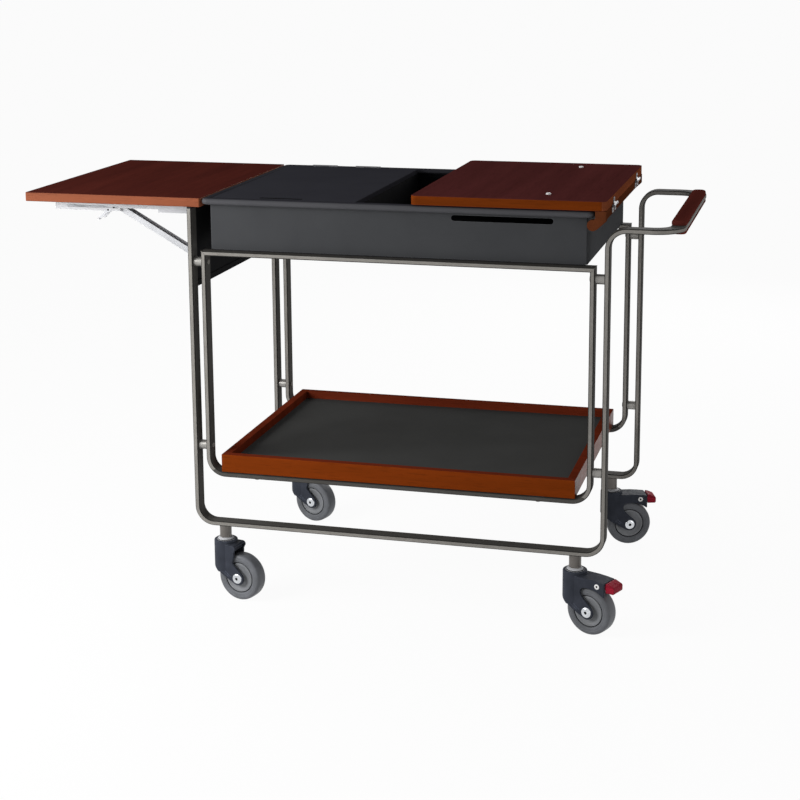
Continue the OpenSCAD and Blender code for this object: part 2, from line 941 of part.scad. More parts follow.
// The fixed rail lies along the rim's right end
module hinge_rail() {
    z1 = board_z0 - face_gap;
    color("#5e2a16")
        block([rail_x0, -lug_y0, z1 - hinge_rail_h], [rail_x1, lug_y0, z1]);
}

// The end pieces of the rail, with a slanted foot and a round lobe under the rim
module rail_lugs() {
    z1 = board_z0 - face_gap;
    z0 = z1 - hinge_rail_h - 2.5;
    lobe_x = box_l / 2 + face_gap + lobe_r;
    lobe_z = rim_z0 - face_gap - lobe_r - 2;
    color("#6b3119")
        both_sides()
            translate([0, -(lug_y0 + lug_y1) / 2, 0])
                across(lug_t) {
                    translate([lobe_x, lobe_z])
                        circle(lobe_r);
                    polygon([
                        [rail_x0, z1],
                        [rail_x0, lobe_z],
                        [lobe_x, lobe_z - lobe_r],
                        [lobe_x + lobe_r / 2, lobe_z - lobe_r],
                        [rail_x1, z0],
                        [rail_x1, z1]
                    ]);
                }
}

// Steel angles carry the rail from the right face of the box
module rail_angles() {
    z1 = board_z0 - face_gap - hinge_rail_h;
    x = box_l / 2;
    color("#8a8c90")
        both_sides()
            translate([0, -angle_y, 0])
                across(angle_w)
                    polygon([
                        [x, z1],
                        [rail_x1 - 5, z1],
                        [rail_x1 - 5, z1 - sheet_t],
                        [x + sheet_t, z1 - sheet_t],
                        [x + sheet_t, z1 - angle_h],
                        [x, z1 - angle_h]
                    ]);
}

// A flat leaf against an end face, bent out to the hinge line; up is 1 or -1
module hinge_leaf(up) {
    root = board_z0 + up * (face_gap + 1.5);
    tip = board_z0 + up * hinge_leaf_h;
    polygon([
        [board_x1, root + up * 2],
        [board_x1, tip],
        [board_x1 + hinge_leaf_t, tip],
        [board_x1 + hinge_leaf_t, root + up * 2.5],
        [hinge_x + hinge_leaf_t / 2, board_z0 + up * knuckle_d / 2],
        [hinge_x - hinge_leaf_t, board_z0 + up * knuckle_d / 4]
    ]);
}

// One knuckle of a board hinge with its leaf, l wide
module board_knuckle(l, up) {
    difference() {
        union() {
            cross_pin(hinge_x, board_z0, knuckle_d, l);
            across(l)
                hinge_leaf(up);
        }
        cross_pin(hinge_x, board_z0, hinge_pin_d + 2 * run_gap, l + over);
    }
}

module board_hinge_fixed() {
    l = board_hinge_l / 3;
    color("#c3c6cb")
        both_sides()
            for (s = [-1, 1])
                translate([0, -board_hinge_y + s * l, 0])
                    board_knuckle(l, -1);
}

module board_hinge_moving() {
    l = board_hinge_l / 3 - 2 * face_gap;
    color("#c3c6cb")
        both_sides()
            translate([0, -board_hinge_y, 0])
                board_knuckle(l, 1);
}

module bumpers() {
    color("#e6e2da")
        both_sides()
            translate([bumper_x, -bumper_y, board_z1])
                cylinder(d = bumper_d, h = bumper_h);
}

// Fold-down leaf

module leaf() {
    color("#5a2a1f")
        translate([(leaf_x0 + leaf_x1) / 2, 0, leaf_z0])
            linear_extrude(leaf_t)
                round_rect(leaf_l, leaf_w, wood_corner_r);
}

// The child at both brackets
module at_brackets() {
    both_sides()
        translate([0, -bracket_y, 0])
            children();
}

// A shelf arm is a channel that is open below; its walls hold the pivot and the slot of the strut
module shelf_arms() {
    end_r = arm_h / 2 - 1;
    tip = pivot_x - arm_l;
    low = leaf_z0 - arm_h;
    slot_l = strut_far - strut_seat + strut_pin_d;
    color("#c4c4c2")
        at_brackets()
            difference() {
                union() {
                    for (s = [-1, 1])
                        translate([0, s * (arm_w - steel_t) / 2, 0])
                            across(steel_t)
                                difference() {
                                    union() {
                                        translate([tip, low])
                                            square([arm_l, arm_h]);
                                        translate([pivot_x, leaf_z0 - end_r - 1])
                                            circle(end_r);
                                    }
                                    translate([pivot_x - notch_x - notch_l, low - over])
                                        square([notch_l, arm_h / 3 + over]);
                                    translate([
                                        pivot_x - (strut_seat + strut_far) / 2,
                                        pivot_z + seat_rise
                                    ])
                                        round_slot(slot_l, strut_pin_d + 2 * bolt_gap);
                                }
                    block(
                        [tip, -arm_w / 2, leaf_z0 - steel_t],
                        [pivot_x - web_start, arm_w / 2, leaf_z0]
                    );
                }
                cross_pin(pivot_x, pivot_z, pivot_d + 2 * bolt_gap, arm_w + over);
                cross_pin(
                    pivot_x - lever_x,
                    pivot_z - lever_drop,
                    lever_pin_d + 2 * bolt_gap,
                    arm_w + over
                );
            }
}

// The pivot pins of the shelf arms, and the two short pins that each lever rocks on
module arm_pins() {
    head_t = 2;
    color("#9a9a9c")
        at_brackets() {
            cross_pin(pivot_x, pivot_z, pivot_d, arm_w);
            for (s = [-1, 1]) {
                translate([0, s * (arm_w + head_t) / 2, 0])
                    cross_pin(pivot_x, pivot_z, pivot_d + 4, head_t);
                translate([0, s * (arm_w / 2 + lever_w / 2 - lever_t) / 2, 0])
                    cross_pin(
                        pivot_x - lever_x,
                        pivot_z - lever_drop,
                        lever_pin_d,
                        arm_w / 2 - lever_w / 2 + lever_t
                    );
            }
        }
}

// A wall arm is a channel on the end panel, open to the left
module wall_arms() {
    z0 = wall_arm_z1 - wall_arm_h;
    x0 = panel_x0 - wall_arm_d;
    color("#b9b9b8")
        at_brackets()
            difference() {
                union() {
                    block(
                        [panel_x0 - steel_t, -wall_arm_w / 2, z0],
                        [panel_x0, wall_arm_w / 2, wall_arm_z1]
                    );
                    for (s = [-1, 1])
                        translate([0, s * (wall_arm_w - steel_t) / 2, 0])
                            across(steel_t)
                                translate([x0, z0])
                                    square([wall_arm_d, wall_arm_h]);
                }
                cross_pin(pivot_x, pivot_z, pivot_d + 2 * run_gap, wall_arm_w + over);
                cross_pin(strut_x, strut_z, strut_pin_d + 2 * bolt_gap, wall_arm_w + over);
            }
}

// The struts' lower pins, flush with the wall arms
module strut_pivots() {
    color("#9a9a9c")
        at_brackets()
            cross_pin(strut_x, strut_z, strut_pin_d, wall_arm_w + 2 * face_gap);
}

// A strut is a channel that is open above, with its upper pin riveted in
module strut() {
    color("#cfcfcd")
        translate([strut_x, -bracket_y, strut_z])
            rotate([0, strut_tilt, 0])
                difference() {
                    union() {
                        for (s = [-1, 1])
                            translate([0, s * (strut_w - steel_t) / 2, 0])
                                across(steel_t)
                                    translate([-strut_l / 2, 0])
                                        round_slot(strut_l + strut_h, strut_h);
                        block(
                            [-strut_l, -strut_w / 2, -strut_h / 2],
                            [0, strut_w / 2, steel_t - strut_h / 2]
                        );
                        cross_pin(-strut_l, 0, strut_pin_d - 2, strut_w + 2 * face_gap);
                    }
                    cross_pin(0, 0, strut_pin_d + 2 * run_gap, strut_w + over);
                }
}

module strut_near() {
    strut();
}

module strut_far() {
    mirror([0, 1, 0])
        strut();
}

// A lever has two cheeks beside the strut, each with a hook and a thumb tab, joined above the strut
module lever() {
    tab_x = 24;
    tab_z = 18;
    tab_w = 7;
    hook_x = 27;
    hook_z = 11;
    bridge_w = 4;
    bridge_t = 1.8;
    bridge_z = 13.6;
    color("#d4d4d1")
        translate([pivot_x - lever_x, -bracket_y, pivot_z - lever_drop])
            difference() {
                union() {
                    for (s = [-1, 1])
                        translate([0, s * (lever_w - lever_t) / 2, 0]) {
                            across(lever_t) {
                                circle(5);
                                polygon([
                                    [-3, -5],
                                    [5, -3],
                                    [10, hook_z - 4],
                                    [hook_x, hook_z - 3.5],
                                    [hook_x, hook_z],
                                    [bridge_w / 2, hook_z],
                                    [bridge_w / 2, bridge_z + bridge_t],
                                    [-bridge_w / 2, bridge_z + bridge_t],
                                    [-5, 1],
                                    [-tab_x, 1 - tab_z],
                                    [-tab_x, -tab_z - 3],
                                    [4 - tab_x, -tab_z - 3]
                                ]);
                            }
                            translate([2 - tab_x, s * (tab_w - lever_t) / 2, -tab_z - 2])
                                cube([4, tab_w, lever_t], center = true);
                        }
                    translate([0, 0, bridge_z + bridge_t / 2])
                        cube([bridge_w, lever_w, bridge_t], center = true);
                }
                cross_pin(0, 0, lever_pin_d + 2 * run_gap, lever_w + over);
            }
}

module lever_near() {
    lever();
}

module lever_far() {
    mirror([0, 1, 0])
        lever();
}

// Casters

// The child in the place of caster i: on its swivel line, turned as the caster is
module at_caster(i) {
    side = caster_sides[i];
    translate([side[0] * caster_x, side[1] * side_y, 0])
        rotate([0, 0, swivels[i]])
            children();
}

// The stem with its collar and the swivel pin below, which ends in a flat head
module caster_stems() {
    head_t = 2;
    color("#55585d")
        for (i = [0 : 3])
            at_caster(i) {
                translate([0, 0, stem_z0])
                    cylinder(d = stem_d, h = stem_h);
                translate([0, 0, fork_z1 + face_gap])
                    cylinder(d = collar_d, h = collar_h - face_gap);
                translate([0, 0, head_z0 - face_gap])
                    cylinder(d = kingpin_d, h = stem_z0 - head_z0 + face_gap);
                translate([0, 0, head_z0 - face_gap - head_t])
                    cylinder(d = kingpin_d + 6, h = head_t);
            }
}

// The side of a fork: a bent arm to the axle, under a fender that follows the tyre or a round stub
module cheek_outline(braked) {
    boss_r = 15;
    back_x = 10;
    neck_x = trail - 8;
    arch_z = crown_z0 - 3;
    polygon([
        [-back_x, fender_z1],
        [-back_x, axle_z + 12],
        [-4, axle_z + 7],
        [trail - boss_r * 0.7, axle_z - boss_r * 0.7],
        [trail + boss_r * 0.9, axle_z + boss_r * 0.4],
        [trail + 3, axle_z + 22],
        [head_d / 2, crown_z0 - 21],
        [neck_x, crown_z0 - 8],
        [neck_x, fender_z1 - stub_r],
        [stub_l - stub_r, fender_z1]
    ]);
    translate([trail, axle_z])
        circle(boss_r);
    if (braked)
        polygon([
            [stub_l - stub_r, arch_z],
            [trail + 10, arch_z],
            [trail + 22, arch_z - 3],
            [trail + 32, arch_z - 8],
            [fender_l, arch_z - 12],
            [fender_l, fender_z1 - fender_fall],
            [fender_knee, fender_z1],
            [stub_l - stub_r, fender_z1]
        ]);
    else
        translate([stub_l - stub_r, fender_z1 - stub_r])
            circle(stub_r);
}

// The top of a fork between its cheeks
module fork_top(braked) {
    x = braked ? fender_knee : stub_l - stub_r;
    polygon([
        [0, fender_z1],
        [x, fender_z1],
        [x, fender_z1 - plate_t],
        [0, fender_z1 - plate_t]
    ]);
    if (braked)
        polygon([
            [fender_knee, fender_z1],
            [fender_l, fender_z1 - fender_fall],
            [fender_l, fender_z1 - fender_fall - plate_t],
            [fender_knee, fender_z1 - plate_t]
        ]);
}

// The round back of a fork, from the head down beside the tyre
module fork_back() {
    z0 = axle_z + 18;
    difference() {
        translate([0, 0, z0])
            cylinder(d = head_d, h = head_z0 + over - z0);
        translate([0, 0, z0 - over])
            cylinder(d = head_d - 2 * cheek_t, h = head_z0 + 3 * over - z0);
        block([-8, -head_d, z0 - over], [head_d, head_d, fork_z1]);
    }
}

// A fork under its round head; a braked one is bored for the pedal's pin
module fork(braked) {
    color("#33383f")
        difference() {
            union() {
                for (s = [-1, 1])
                    translate([0, s * (fork_w - cheek_t) / 2, 0])
                        across(cheek_t)
                            cheek_outline(braked);
                across(fork_in_w + over)
                    fork_top(braked);
                fork_back();
                translate([0, 0, head_z0])
                    cylinder(d = head_d, h = fork_z1 - head_z0);
            }
            translate([0, 0, head_z0 - over])
                cylinder(d = kingpin_d + 2 * run_gap, h = fork_z1);
            cross_pin(trail, axle_z, axle_d + 2 * bolt_gap, fork_w + over);
            if (braked)
                cross_pin(pedal_pin_x, pedal_pin_z, pedal_pin_d + 2 * bolt_gap, fork_w + over);
        }
}

module fork_nl() {
    at_caster(0)
        fork(false);
}

module fork_nr() {
    at_caster(1)
        fork(true);
}

module fork_fr() {
    at_caster(2)
        fork(true);
}

module fork_fl() {
    at_caster(3)
        fork(false);
}

// An axle bolt with a round head on each side, and on a braked fork the pedal's pin
module axle(braked) {
    head_t = 3;
    socket_d = 9;
    color("#c9ccd1") {
        difference() {
            union() {
                cross_pin(trail, axle_z, axle_d, fork_w);
                for (s = [-1, 1])
                    translate([0, s * (fork_w + head_t) / 2, 0])
                        cross_pin(trail, axle_z, axle_head_d, head_t);
            }
            for (s = [-1, 1])
                translate([0, s * (fork_w / 2 + head_t), 0])
                    cross_pin(trail, axle_z, socket_d, 2 * head_t);
        }
        if (braked) {
            cross_pin(pedal_pin_x, pedal_pin_z, pedal_pin_d, fork_w);
            for (s = [-1, 1])
                translate([0, s * (fork_w / 2 + 0.5), 0])
                    cross_pin(pedal_pin_x, pedal_pin_z, rivet_d, 1);
        }
    }
}

module axle_nl() {
    at_caster(0)
        axle(false);
}

module axle_nr() {
    at_caster(1)
        axle(true);
}

module axle_fr() {
    at_caster(2)
        axle(true);
}

module axle_fl() {
    at_caster(3)
        axle(false);
}

// The child outline, drawn with x as the radius, turned about the axle
module about_axle() {
    translate([trail, 0, axle_z])
        rotate([90, 0, 0])
            rotate_extrude()
                children();
}

// A tyre with a flat tread and round shoulders
module tyre() {
    shoulder_r = 3 / 16 * wheel_w;
    outer = wheel_d / 2;
    color("#6f7073")
        about_axle() {
            translate([hub_d / 2, -wheel_w / 2])
                square([outer - shoulder_r - hub_d / 2, wheel_w]);
            translate([hub_d / 2, shoulder_r - wheel_w / 2])
                square([outer - hub_d / 2, wheel_w - 2 * shoulder_r]);
            for (s = [-1, 1])
                translate([outer - shoulder_r, s * (wheel_w / 2 - shoulder_r)])
                    circle(shoulder_r);
        }
}

// A hub with a raised disc and a long boss that almost touches the fork
module hub() {
    bore_r = axle_d / 2 + run_gap;
    felloe = 4;
    web_in = 6;
    color("#8d8f93")
        about_axle() {
            translate([bore_r, face_gap - fork_in_w / 2])
                square([axle_d / 2, fork_in_w - 2 * face_gap]);
            translate([bore_r, web_in - wheel_w / 2])
                square([hub_d / 2 - bore_r, wheel_w - 2 * web_in]);
            translate([hub_d / 2 - felloe, 1 - wheel_w / 2])
                square([felloe, wheel_w - 2]);
        }
}

module tyre_nl() {
    at_caster(0)
        tyre();
}

module tyre_nr() {
    at_caster(1)
        tyre();
}

module tyre_fr() {
    at_caster(2)
        tyre();
}

module tyre_fl() {
    at_caster(3)
        tyre();
}

module hub_nl() {
    at_caster(0)
        hub();
}

module hub_nr() {
    at_caster(1)
        hub();
}

module hub_fr() {
    at_caster(2)
        hub();
}

module hub_fl() {
    at_caster(3)
        hub();
}

// A brake pedal: an arm inside the fender and a wide pad past its end
module pedal() {
    pad_x0 = fender_l + face_gap + 1;
    pad_z0 = crown_z0 - 5;
    pad_z1 = fender_z1 - 1.5;
    arm_z0 = crown_z0 + 1;
    arm_h = 8;
    nose_h = 13;
    edge_r = 3;
    color("#8a1f2a")
        difference() {
            union() {
                across(fork_in_w - 1) {
                    translate([pedal_pin_x, arm_z0])
                        square([pad_x0 + edge_r - pedal_pin_x, arm_h]);
                    translate([pedal_pin_x, pedal_pin_z])
                        circle(pedal_pin_z - arm_z0);
                }
                across(pedal_w) {
                    polygon([
                        [pad_x0, pad_z0],
                        [pedal_l - edge_r, pad_z0],
                        [pedal_l, pad_z0 + edge_r],
                        [pedal_l, pad_z0 + nose_h],
                        [pad_x0 + edge_r, pad_z1],
                        [pad_x0, pad_z1 - edge_r]
                    ]);
                }
            }
            cross_pin(pedal_pin_x, pedal_pin_z, pedal_pin_d + 2 * run_gap, fork_w);
        }
}

module pedal_nr() {
    at_caster(1)
        pedal();
}

module pedal_fr() {
    at_caster(2)
        pedal();
}

place() outer_tube_near();
place() outer_tube_far();
place() handle_tube();
place() inner_loop_near();
place() inner_loop_far();
place() frame_studs();
place() frame_bolts();
place() post_caps();
place() grip_upper();
place() grip_lower();
place() tray_sides();
place() tray_ends();
place() tray_floor();
place() seat_pads();
place() end_panel();
place() front_panel();
place() back_panel();
place() side_panels();
place() box_floor();
place() box_divider();
place() top_rim();
place() hinge_rail();
place() rail_lugs();
place() rail_angles();
place() lid();
place() lid_hinge_fixed();
place() lid_hinge_moving();
place() hinge_pins();
place() flip_board();
place() board_hinge_fixed();
place() board_hinge_moving();
place() bumpers();
place() leaf();
place() shelf_arms();
place() arm_pins();
place() wall_arms();
place() strut_pivots();
place() strut_near();
place() strut_far();
place() lever_near();
place() lever_far();
place() caster_stems();
place() fork_nl();
place() fork_nr();
place() fork_fr();
place() fork_fl();
place() axle_nl();
place() axle_nr();
place() axle_fr();
place() axle_fl();
place() tyre_nl();
place() tyre_nr();
place() tyre_fr();
place() tyre_fl();
place() hub_nl();
place() hub_nr();
place() hub_fr();
place() hub_fl();
place() pedal_nr();
place() pedal_fr();
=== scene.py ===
import logging
import math
from collections.abc import Callable, Iterable, Sequence
from dataclasses import dataclass
from enum import Enum
from functools import cached_property
from typing import Any

import bmesh
import bpy
from bmesh.types import BMesh
from mathutils import Matrix, Vector


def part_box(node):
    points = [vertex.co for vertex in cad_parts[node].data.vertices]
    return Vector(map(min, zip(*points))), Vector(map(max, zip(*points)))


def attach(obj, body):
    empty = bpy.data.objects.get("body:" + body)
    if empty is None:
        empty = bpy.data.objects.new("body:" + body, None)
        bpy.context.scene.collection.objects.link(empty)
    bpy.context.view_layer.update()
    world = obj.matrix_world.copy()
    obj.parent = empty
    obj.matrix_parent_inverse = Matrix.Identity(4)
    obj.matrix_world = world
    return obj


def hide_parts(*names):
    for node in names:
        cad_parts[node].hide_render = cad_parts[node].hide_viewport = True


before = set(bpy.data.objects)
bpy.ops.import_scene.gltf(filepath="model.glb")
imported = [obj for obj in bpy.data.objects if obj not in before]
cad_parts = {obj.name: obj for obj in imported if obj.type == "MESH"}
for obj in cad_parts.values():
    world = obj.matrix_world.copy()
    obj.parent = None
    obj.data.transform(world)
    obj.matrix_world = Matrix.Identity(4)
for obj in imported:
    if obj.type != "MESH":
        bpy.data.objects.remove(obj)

logging.basicConfig(level=logging.INFO, format="%(message)s")
log = logging.getLogger("flambe_cart")

Colour = tuple[int, int, int]
Point = tuple[float, float]
Corner = tuple[float, float, float]
Socket = bpy.types.NodeSocket
# Takes a face's middle and its normal, and gives its material index
Rule = Callable[[Vector, Vector], int]

# A millimetre in metres
MM = 0.001
# The middle of the side frames in the row frame, in millimetres: their place along the cart is
# a number, and across it they share the leaf's middle
FRAMES_ALONG = 112.5
LEAF_LOW, LEAF_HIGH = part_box("leaf")
CART_MIDDLE = Vector((FRAMES_ALONG, (LEAF_LOW.y + LEAF_HIGH.y) / 2 / MM, 0.0))
# Points nearer to each other than this are merged, in millimetres
WELD = 0.002
# The same where a turned shape closes
SEAM = 0.001
# Points within this of a face lie on it, in millimetres
ON_FACE = 0.01
# An edge is a corner when its faces meet at more than this angle, in radians
CORNER_ANGLE = 0.6
# A face is level when its normal's share along Z is over this, and else upright
LEVEL = 0.3
# Lays a slab that was drawn in X and Y upright, so that its outline lies in X and Z
UPRIGHT = Matrix.Rotation(math.radians(90), 4, "X")
# Turns a shape from along the cart to across it
QUARTER_TURN = Matrix.Rotation(math.radians(90), 4, "Z")
# Mirrors a shape from one side of the cart to the other
OTHER_SIDE = Matrix.Scale(-1, 4, (0.0, 1.0, 0.0))
WHITE = (1.0, 1.0, 1.0, 1.0)
# Where nearly all values of a noise lie
NOISE_SPAN = (0.3, 0.7)


class Grain(Enum):
    """The direction in which a wood's grain runs."""

    ALONG_X = (0.05, 1.0, 1.0)
    ALONG_Y = (1.0, 0.05, 1.0)


class Carve(Enum):
    """What one solid does to another."""

    CUT = "DIFFERENCE"
    JOIN = "UNION"


def linear(colour: Colour) -> tuple[float, float, float, float]:
    """Turns a colour of 0 to 255 steps into the linear values that a shader takes.

    Args:
        colour: Red, green and blue as a picture holds them.

    Returns:
        Linear red, green and blue, and an alpha of 1.
    """
    steps = [step / 255 for step in colour]
    red, green, blue = (s / 12.92 if s <= 0.04045 else ((s + 0.055) / 1.055) ** 2.4 for s in steps)
    return red, green, blue, 1.0


def shade(colour: Colour, factor: float) -> Colour:
    """Makes a colour lighter with a factor above 1, or darker with one below it."""
    red, green, blue = (min(255, round(step * factor)) for step in colour)
    return red, green, blue


class Graph:
    """The node tree of a material or of the surroundings."""

    def __init__(self, owner: bpy.types.Material | bpy.types.World) -> None:
        """Starts with an empty tree.

        Args:
            owner: The material or the world that holds the tree.
        """
        self.owner = owner
        owner.use_nodes = True
        self.nodes = owner.node_tree.nodes
        self.links = owner.node_tree.links
        self.nodes.clear()

    @cached_property
    def place(self) -> Socket:
        """The object's own coordinates."""
        return self.nodes.new("ShaderNodeTexCoord").outputs["Object"]

    def node(self, kind: str, values: dict[Any, Any], **settings: Any) -> bpy.types.Node:
        """Adds a node.

        Args:
            kind: The node's type.
            values: Its inputs, each a number, a colour or another node's output.
            settings: Its properties.

        Returns:
            The new node.
        """
        made = self.nodes.new(kind)
        for name, setting in settings.items():
            setattr(made, name, setting)
        for name, value in values.items():
            if isinstance(value, Socket):
                self.links.new(value, made.inputs[name])
            else:
                made.inputs[name].default_value = value
        return made

    def stretched(self, scale: Corner) -> Socket:
        """The object's coordinates, scaled on each axis."""
        values = {"Vector": self.place, "Scale": scale}
        return self.node("ShaderNodeMapping", values).outputs["Vector"]

    def noise(self, scale: float, detail: float = 3.0, at: Socket | None = None) -> Socket:
        """Adds a noise: its cells per metre, its finer layers, and its coordinates."""
        values = {"Vector": at or self.place, "Scale": scale, "Detail": detail, "Roughness": 0.55}
        return self.node("ShaderNodeTexNoise", values).outputs[0]

    def ramp(self, value: Socket, stops: Sequence[tuple[float, Colour]]) -> Socket:
        """Turns a value into a colour.

        Args:
            value: The value to look up.
            stops: Each place on the ramp with its colour.

        Returns:
            The colour.
        """
        made = self.node("ShaderNodeValToRGB", {"Fac": value})
        marks = made.color_ramp.elements
        while len(marks) < len(stops):
            marks.new(0.5)
        for mark, (place, colour) in zip(marks, stops):
            mark.position = place
            mark.color = linear(colour)
        return made.outputs["Color"]

    def spread(self, value: Socket, source: Point, target: Point) -> Socket:
        """Maps a value from one range to another, held at its ends."""
        values = {
            "Value": value, "From Min": source[0], "From Max": source[1],
            "To Min": target[0], "To Max": target[1],
        }
        return self.node("ShaderNodeMapRange", values).outputs["Result"]

    def mixed(self, share: Socket, low: Any, high: Any) -> Socket:
        """Mixes two colours, with the given share of the second one."""
        values = {0: share, 6: low, 7: high}
        return self.node("ShaderNodeMix", values, data_type="RGBA").outputs[2]

    def relief(
        self, height: Socket, depth: float, strength: float, over: Socket | None = None
    ) -> Socket:
        """Adds a bump.

        Args:
            height: The height, from 0 to 1.
            depth: The bump's depth in metres.
            strength: How much of it shows.
            over: Another bump below this one, or none.

        Returns:
            The bumped normal.
        """
        values = {"Height": height, "Distance": depth, "Strength": strength}
        if over is not None:
            values["Normal"] = over
        return self.node("ShaderNodeBump", values).outputs["Normal"]

    def edges(self, radius: float) -> Socket:
        """Finds the edges, which the finishes make lighter, partly as rubbing and partly as a
        painted highlight.

        Args:
            radius: How far from the edge the lighter tone reaches, in metres.

        Returns:
            A value near 1 on the edges and 0 elsewhere.
        """
        rounded = self.node("ShaderNodeBevel", {"Radius": radius}, samples=4).outputs["Normal"]
        plain = self.nodes.new("ShaderNodeNewGeometry").outputs["Normal"]
        values = {0: rounded, 1: plain}
        match = self.node("ShaderNodeVectorMath", values, operation="DOT_PRODUCT")
        return self.spread(match.outputs["Value"], (0.99, 0.8), (0.0, 1.0))

    def clouded(self, value: Socket, colour: Colour, depth: float) -> Socket:
        """Lets a colour waver with a noise, by a share of its brightness either way."""
        tones = (shade(colour, 1 - depth), shade(colour, 1 + depth))
        return self.ramp(value, tuple(zip(NOISE_SPAN, tones)))

    def worn_and_highlit(
        self, base: Socket, colour: Colour, reach: float, share: float, lift: float
    ) -> Socket:
        """Gives the edges a lighter tone, partly rubbed and partly a painted highlight.

        Args:
            base: The colour away from the edges.
            colour: The finish's middle colour.
            reach: How far from an edge its tone reaches, in metres.
            share: How much of that tone shows on the edge.
            lift: The tone's brightness beside the middle colour's.

        Returns:
            The colour with its edges.
        """
        edge = self.spread(self.edges(reach), (0.0, 1.0), (0.0, share))
        return self.mixed(edge, base, linear(shade(colour, lift)))

    def seen(self, *rays: str) -> Socket:
        """Tells some kinds of ray from the others.

        Args:
            rays: The light path's outputs for these kinds.

        Returns:
            1 for a ray of one of these kinds, and 0 for the others.
        """
        path = self.nodes.new("ShaderNodeLightPath").outputs
        found = path[rays[0]]
        for ray in rays[1:]:
            either = self.node("ShaderNodeMath", {0: found, 1: path[ray]}, operation="MAXIMUM")
            found = either.outputs[0]
        return found

    def surface(
        self, colour: Socket, rough: Socket, normal: Socket, gloss: float, metal: float = 0.0
    ) -> bpy.types.Material:
        """Closes the tree with its shader.

        Args:
            colour: The colour.
            rough: The roughness.
            normal: The bumped normal.
            gloss: The reflectivity.
            metal: How metallic the surface is.

        Returns:
            The finished material.
        """
        shader = self.node("ShaderNodeBsdfPrincipled", {
            "Metallic": metal, "Specular IOR Level": gloss, "Base Color": colour,
            "Roughness": rough, "Normal": normal,
        })
        self.node("ShaderNodeOutputMaterial", {"Surface": shader.outputs["BSDF"]})
        return self.owner


@dataclass(frozen=True)
class Finish:
    """A material of the cart.

    Attributes:
        name: The material's name.
        colour: Its middle colour.
    """

    name: str
    colour: Colour

    def graph(self) -> Graph:
        """Starts the material's tree."""
        return Graph(bpy.data.materials.new(self.name))


@dataclass(frozen=True)
class WoodFinish(Finish):
    """Stained and lacquered wood.

    Attributes:
        grain: The direction of the grain.
        contrast: How far the light and dark streaks lie from the middle.
        roughness: The lacquer's roughness.
        gloss: The lacquer's reflectivity, 0.5 for a plain varnish.
    """

    grain: Grain
    contrast: float = 0.14
    roughness: float = 0.42
    gloss: float = 0.3

    def build(self) -> bpy.types.Material:
        """Makes the material."""
        graph = self.graph()
        along = graph.stretched(self.grain.value)
        figure = graph.noise(scale=26.0, detail=6.0, at=along)
        pores = graph.noise(scale=520.0, detail=2.0, at=along)
        tone = graph.noise(scale=3.2, detail=2.0)
        streaks = graph.ramp(figure, (
            (0.28, shade(self.colour, 1 - self.contrast)),
            (0.50, self.colour),
            (0.72, shade(self.colour, 1 + self.contrast)),
        ))
        dull, dark = (linear(shade(self.colour, factor)) for factor in (0.86, 0.62))
        toned = graph.mixed(graph.spread(tone, NOISE_SPAN, (0.0, 0.35)), streaks, dull)
        coloured = graph.mixed(graph.spread(pores, (0.56, 0.74), (0.0, 0.5)), toned, dark)
        # Lighter edges, partly rubbed and partly a painted highlight
        worn_and_highlit = graph.worn_and_highlit(coloured, self.colour, reach=0.0012, share=0.3, lift=1.5)
        rough = graph.spread(pores, NOISE_SPAN, (self.roughness - 0.05, self.roughness + 0.1))
        broad = graph.relief(figure, depth=0.0003, strength=0.15)
        bumped = graph.relief(pores, depth=0.0001, strength=0.35, over=broad)
        return graph.surface(worn_and_highlit, rough, bumped, self.gloss)


@dataclass(frozen=True)
class SheetFinish(Finish):
    """Powder-coated or lacquered sheet metal with a fine orange peel.

    Attributes:
        roughness: Its roughness.
        metal: How metallic the coat is.
        gloss: The coat's reflectivity.
        wear_and_highlight: How much lighter the edges are, from rubbing and as a painted highlight.
        grit: The depth of the orange peel, in metres.
    """

    roughness: float = 0.42
    metal: float = 0.0
    gloss: float = 0.35
    wear_and_highlight: float = 0.35
    grit: float = 0.00006

    def build(self) -> bpy.types.Material:
        """Makes the material."""
        graph = self.graph()
        peel = graph.noise(scale=900.0, detail=2.0)
        smears = graph.noise(scale=38.0, detail=4.0)
        base = graph.clouded(graph.noise(scale=7.0, detail=3.0), self.colour, depth=0.03)
        # Lighter edges, partly rubbed and partly a painted highlight
        worn_and_highlit = graph.worn_and_highlit(base, self.colour, reach=0.001, share=self.wear_and_highlight, lift=1.7)
        rough = graph.spread(smears, NOISE_SPAN, (self.roughness - 0.03, self.roughness + 0.04))
        bumped = graph.relief(peel, depth=self.grit, strength=0.4)
        return graph.surface(worn_and_highlit, rough, bumped, self.gloss, self.metal)


@dataclass(frozen=True)
class BareMetalFinish(Finish):
    """Chromed, zinc-plated or brushed metal.

    Attributes:
        roughness: Its roughness.
        metal: How metallic it is.
        gloss: The reflectivity of its clear coat.
        brush: Scale of the brush marks on each axis.
        rim: The edges' brightness beside the faces', from rubbing and as a painted highlight.
    """

    roughness: float = 0.2
    metal: float = 1.0
    gloss: float = 0.5
    brush: Corner = (1.0, 1.0, 1.0)
    rim: float = 1.35

    def build(self) -> bpy.types.Material:
        """Makes the material."""
        graph = self.graph()
        marks = graph.noise(scale=1100.0, detail=3.0, at=graph.stretched(self.brush))
        smears = graph.noise(scale=30.0, detail=4.0)
        tint = graph.clouded(smears, self.colour, depth=0.04)
        # Lighter edges, partly rubbed and partly a painted highlight
        worn_and_highlit = graph.worn_and_highlit(tint, self.colour, reach=0.0008, share=0.35, lift=self.rim)
        rough = graph.spread(smears, NOISE_SPAN, (self.roughness * 0.8, self.roughness * 1.3))
        bumped = graph.relief(marks, depth=0.00004, strength=0.3)
        return graph.surface(worn_and_highlit, rough, bumped, self.gloss, self.metal)


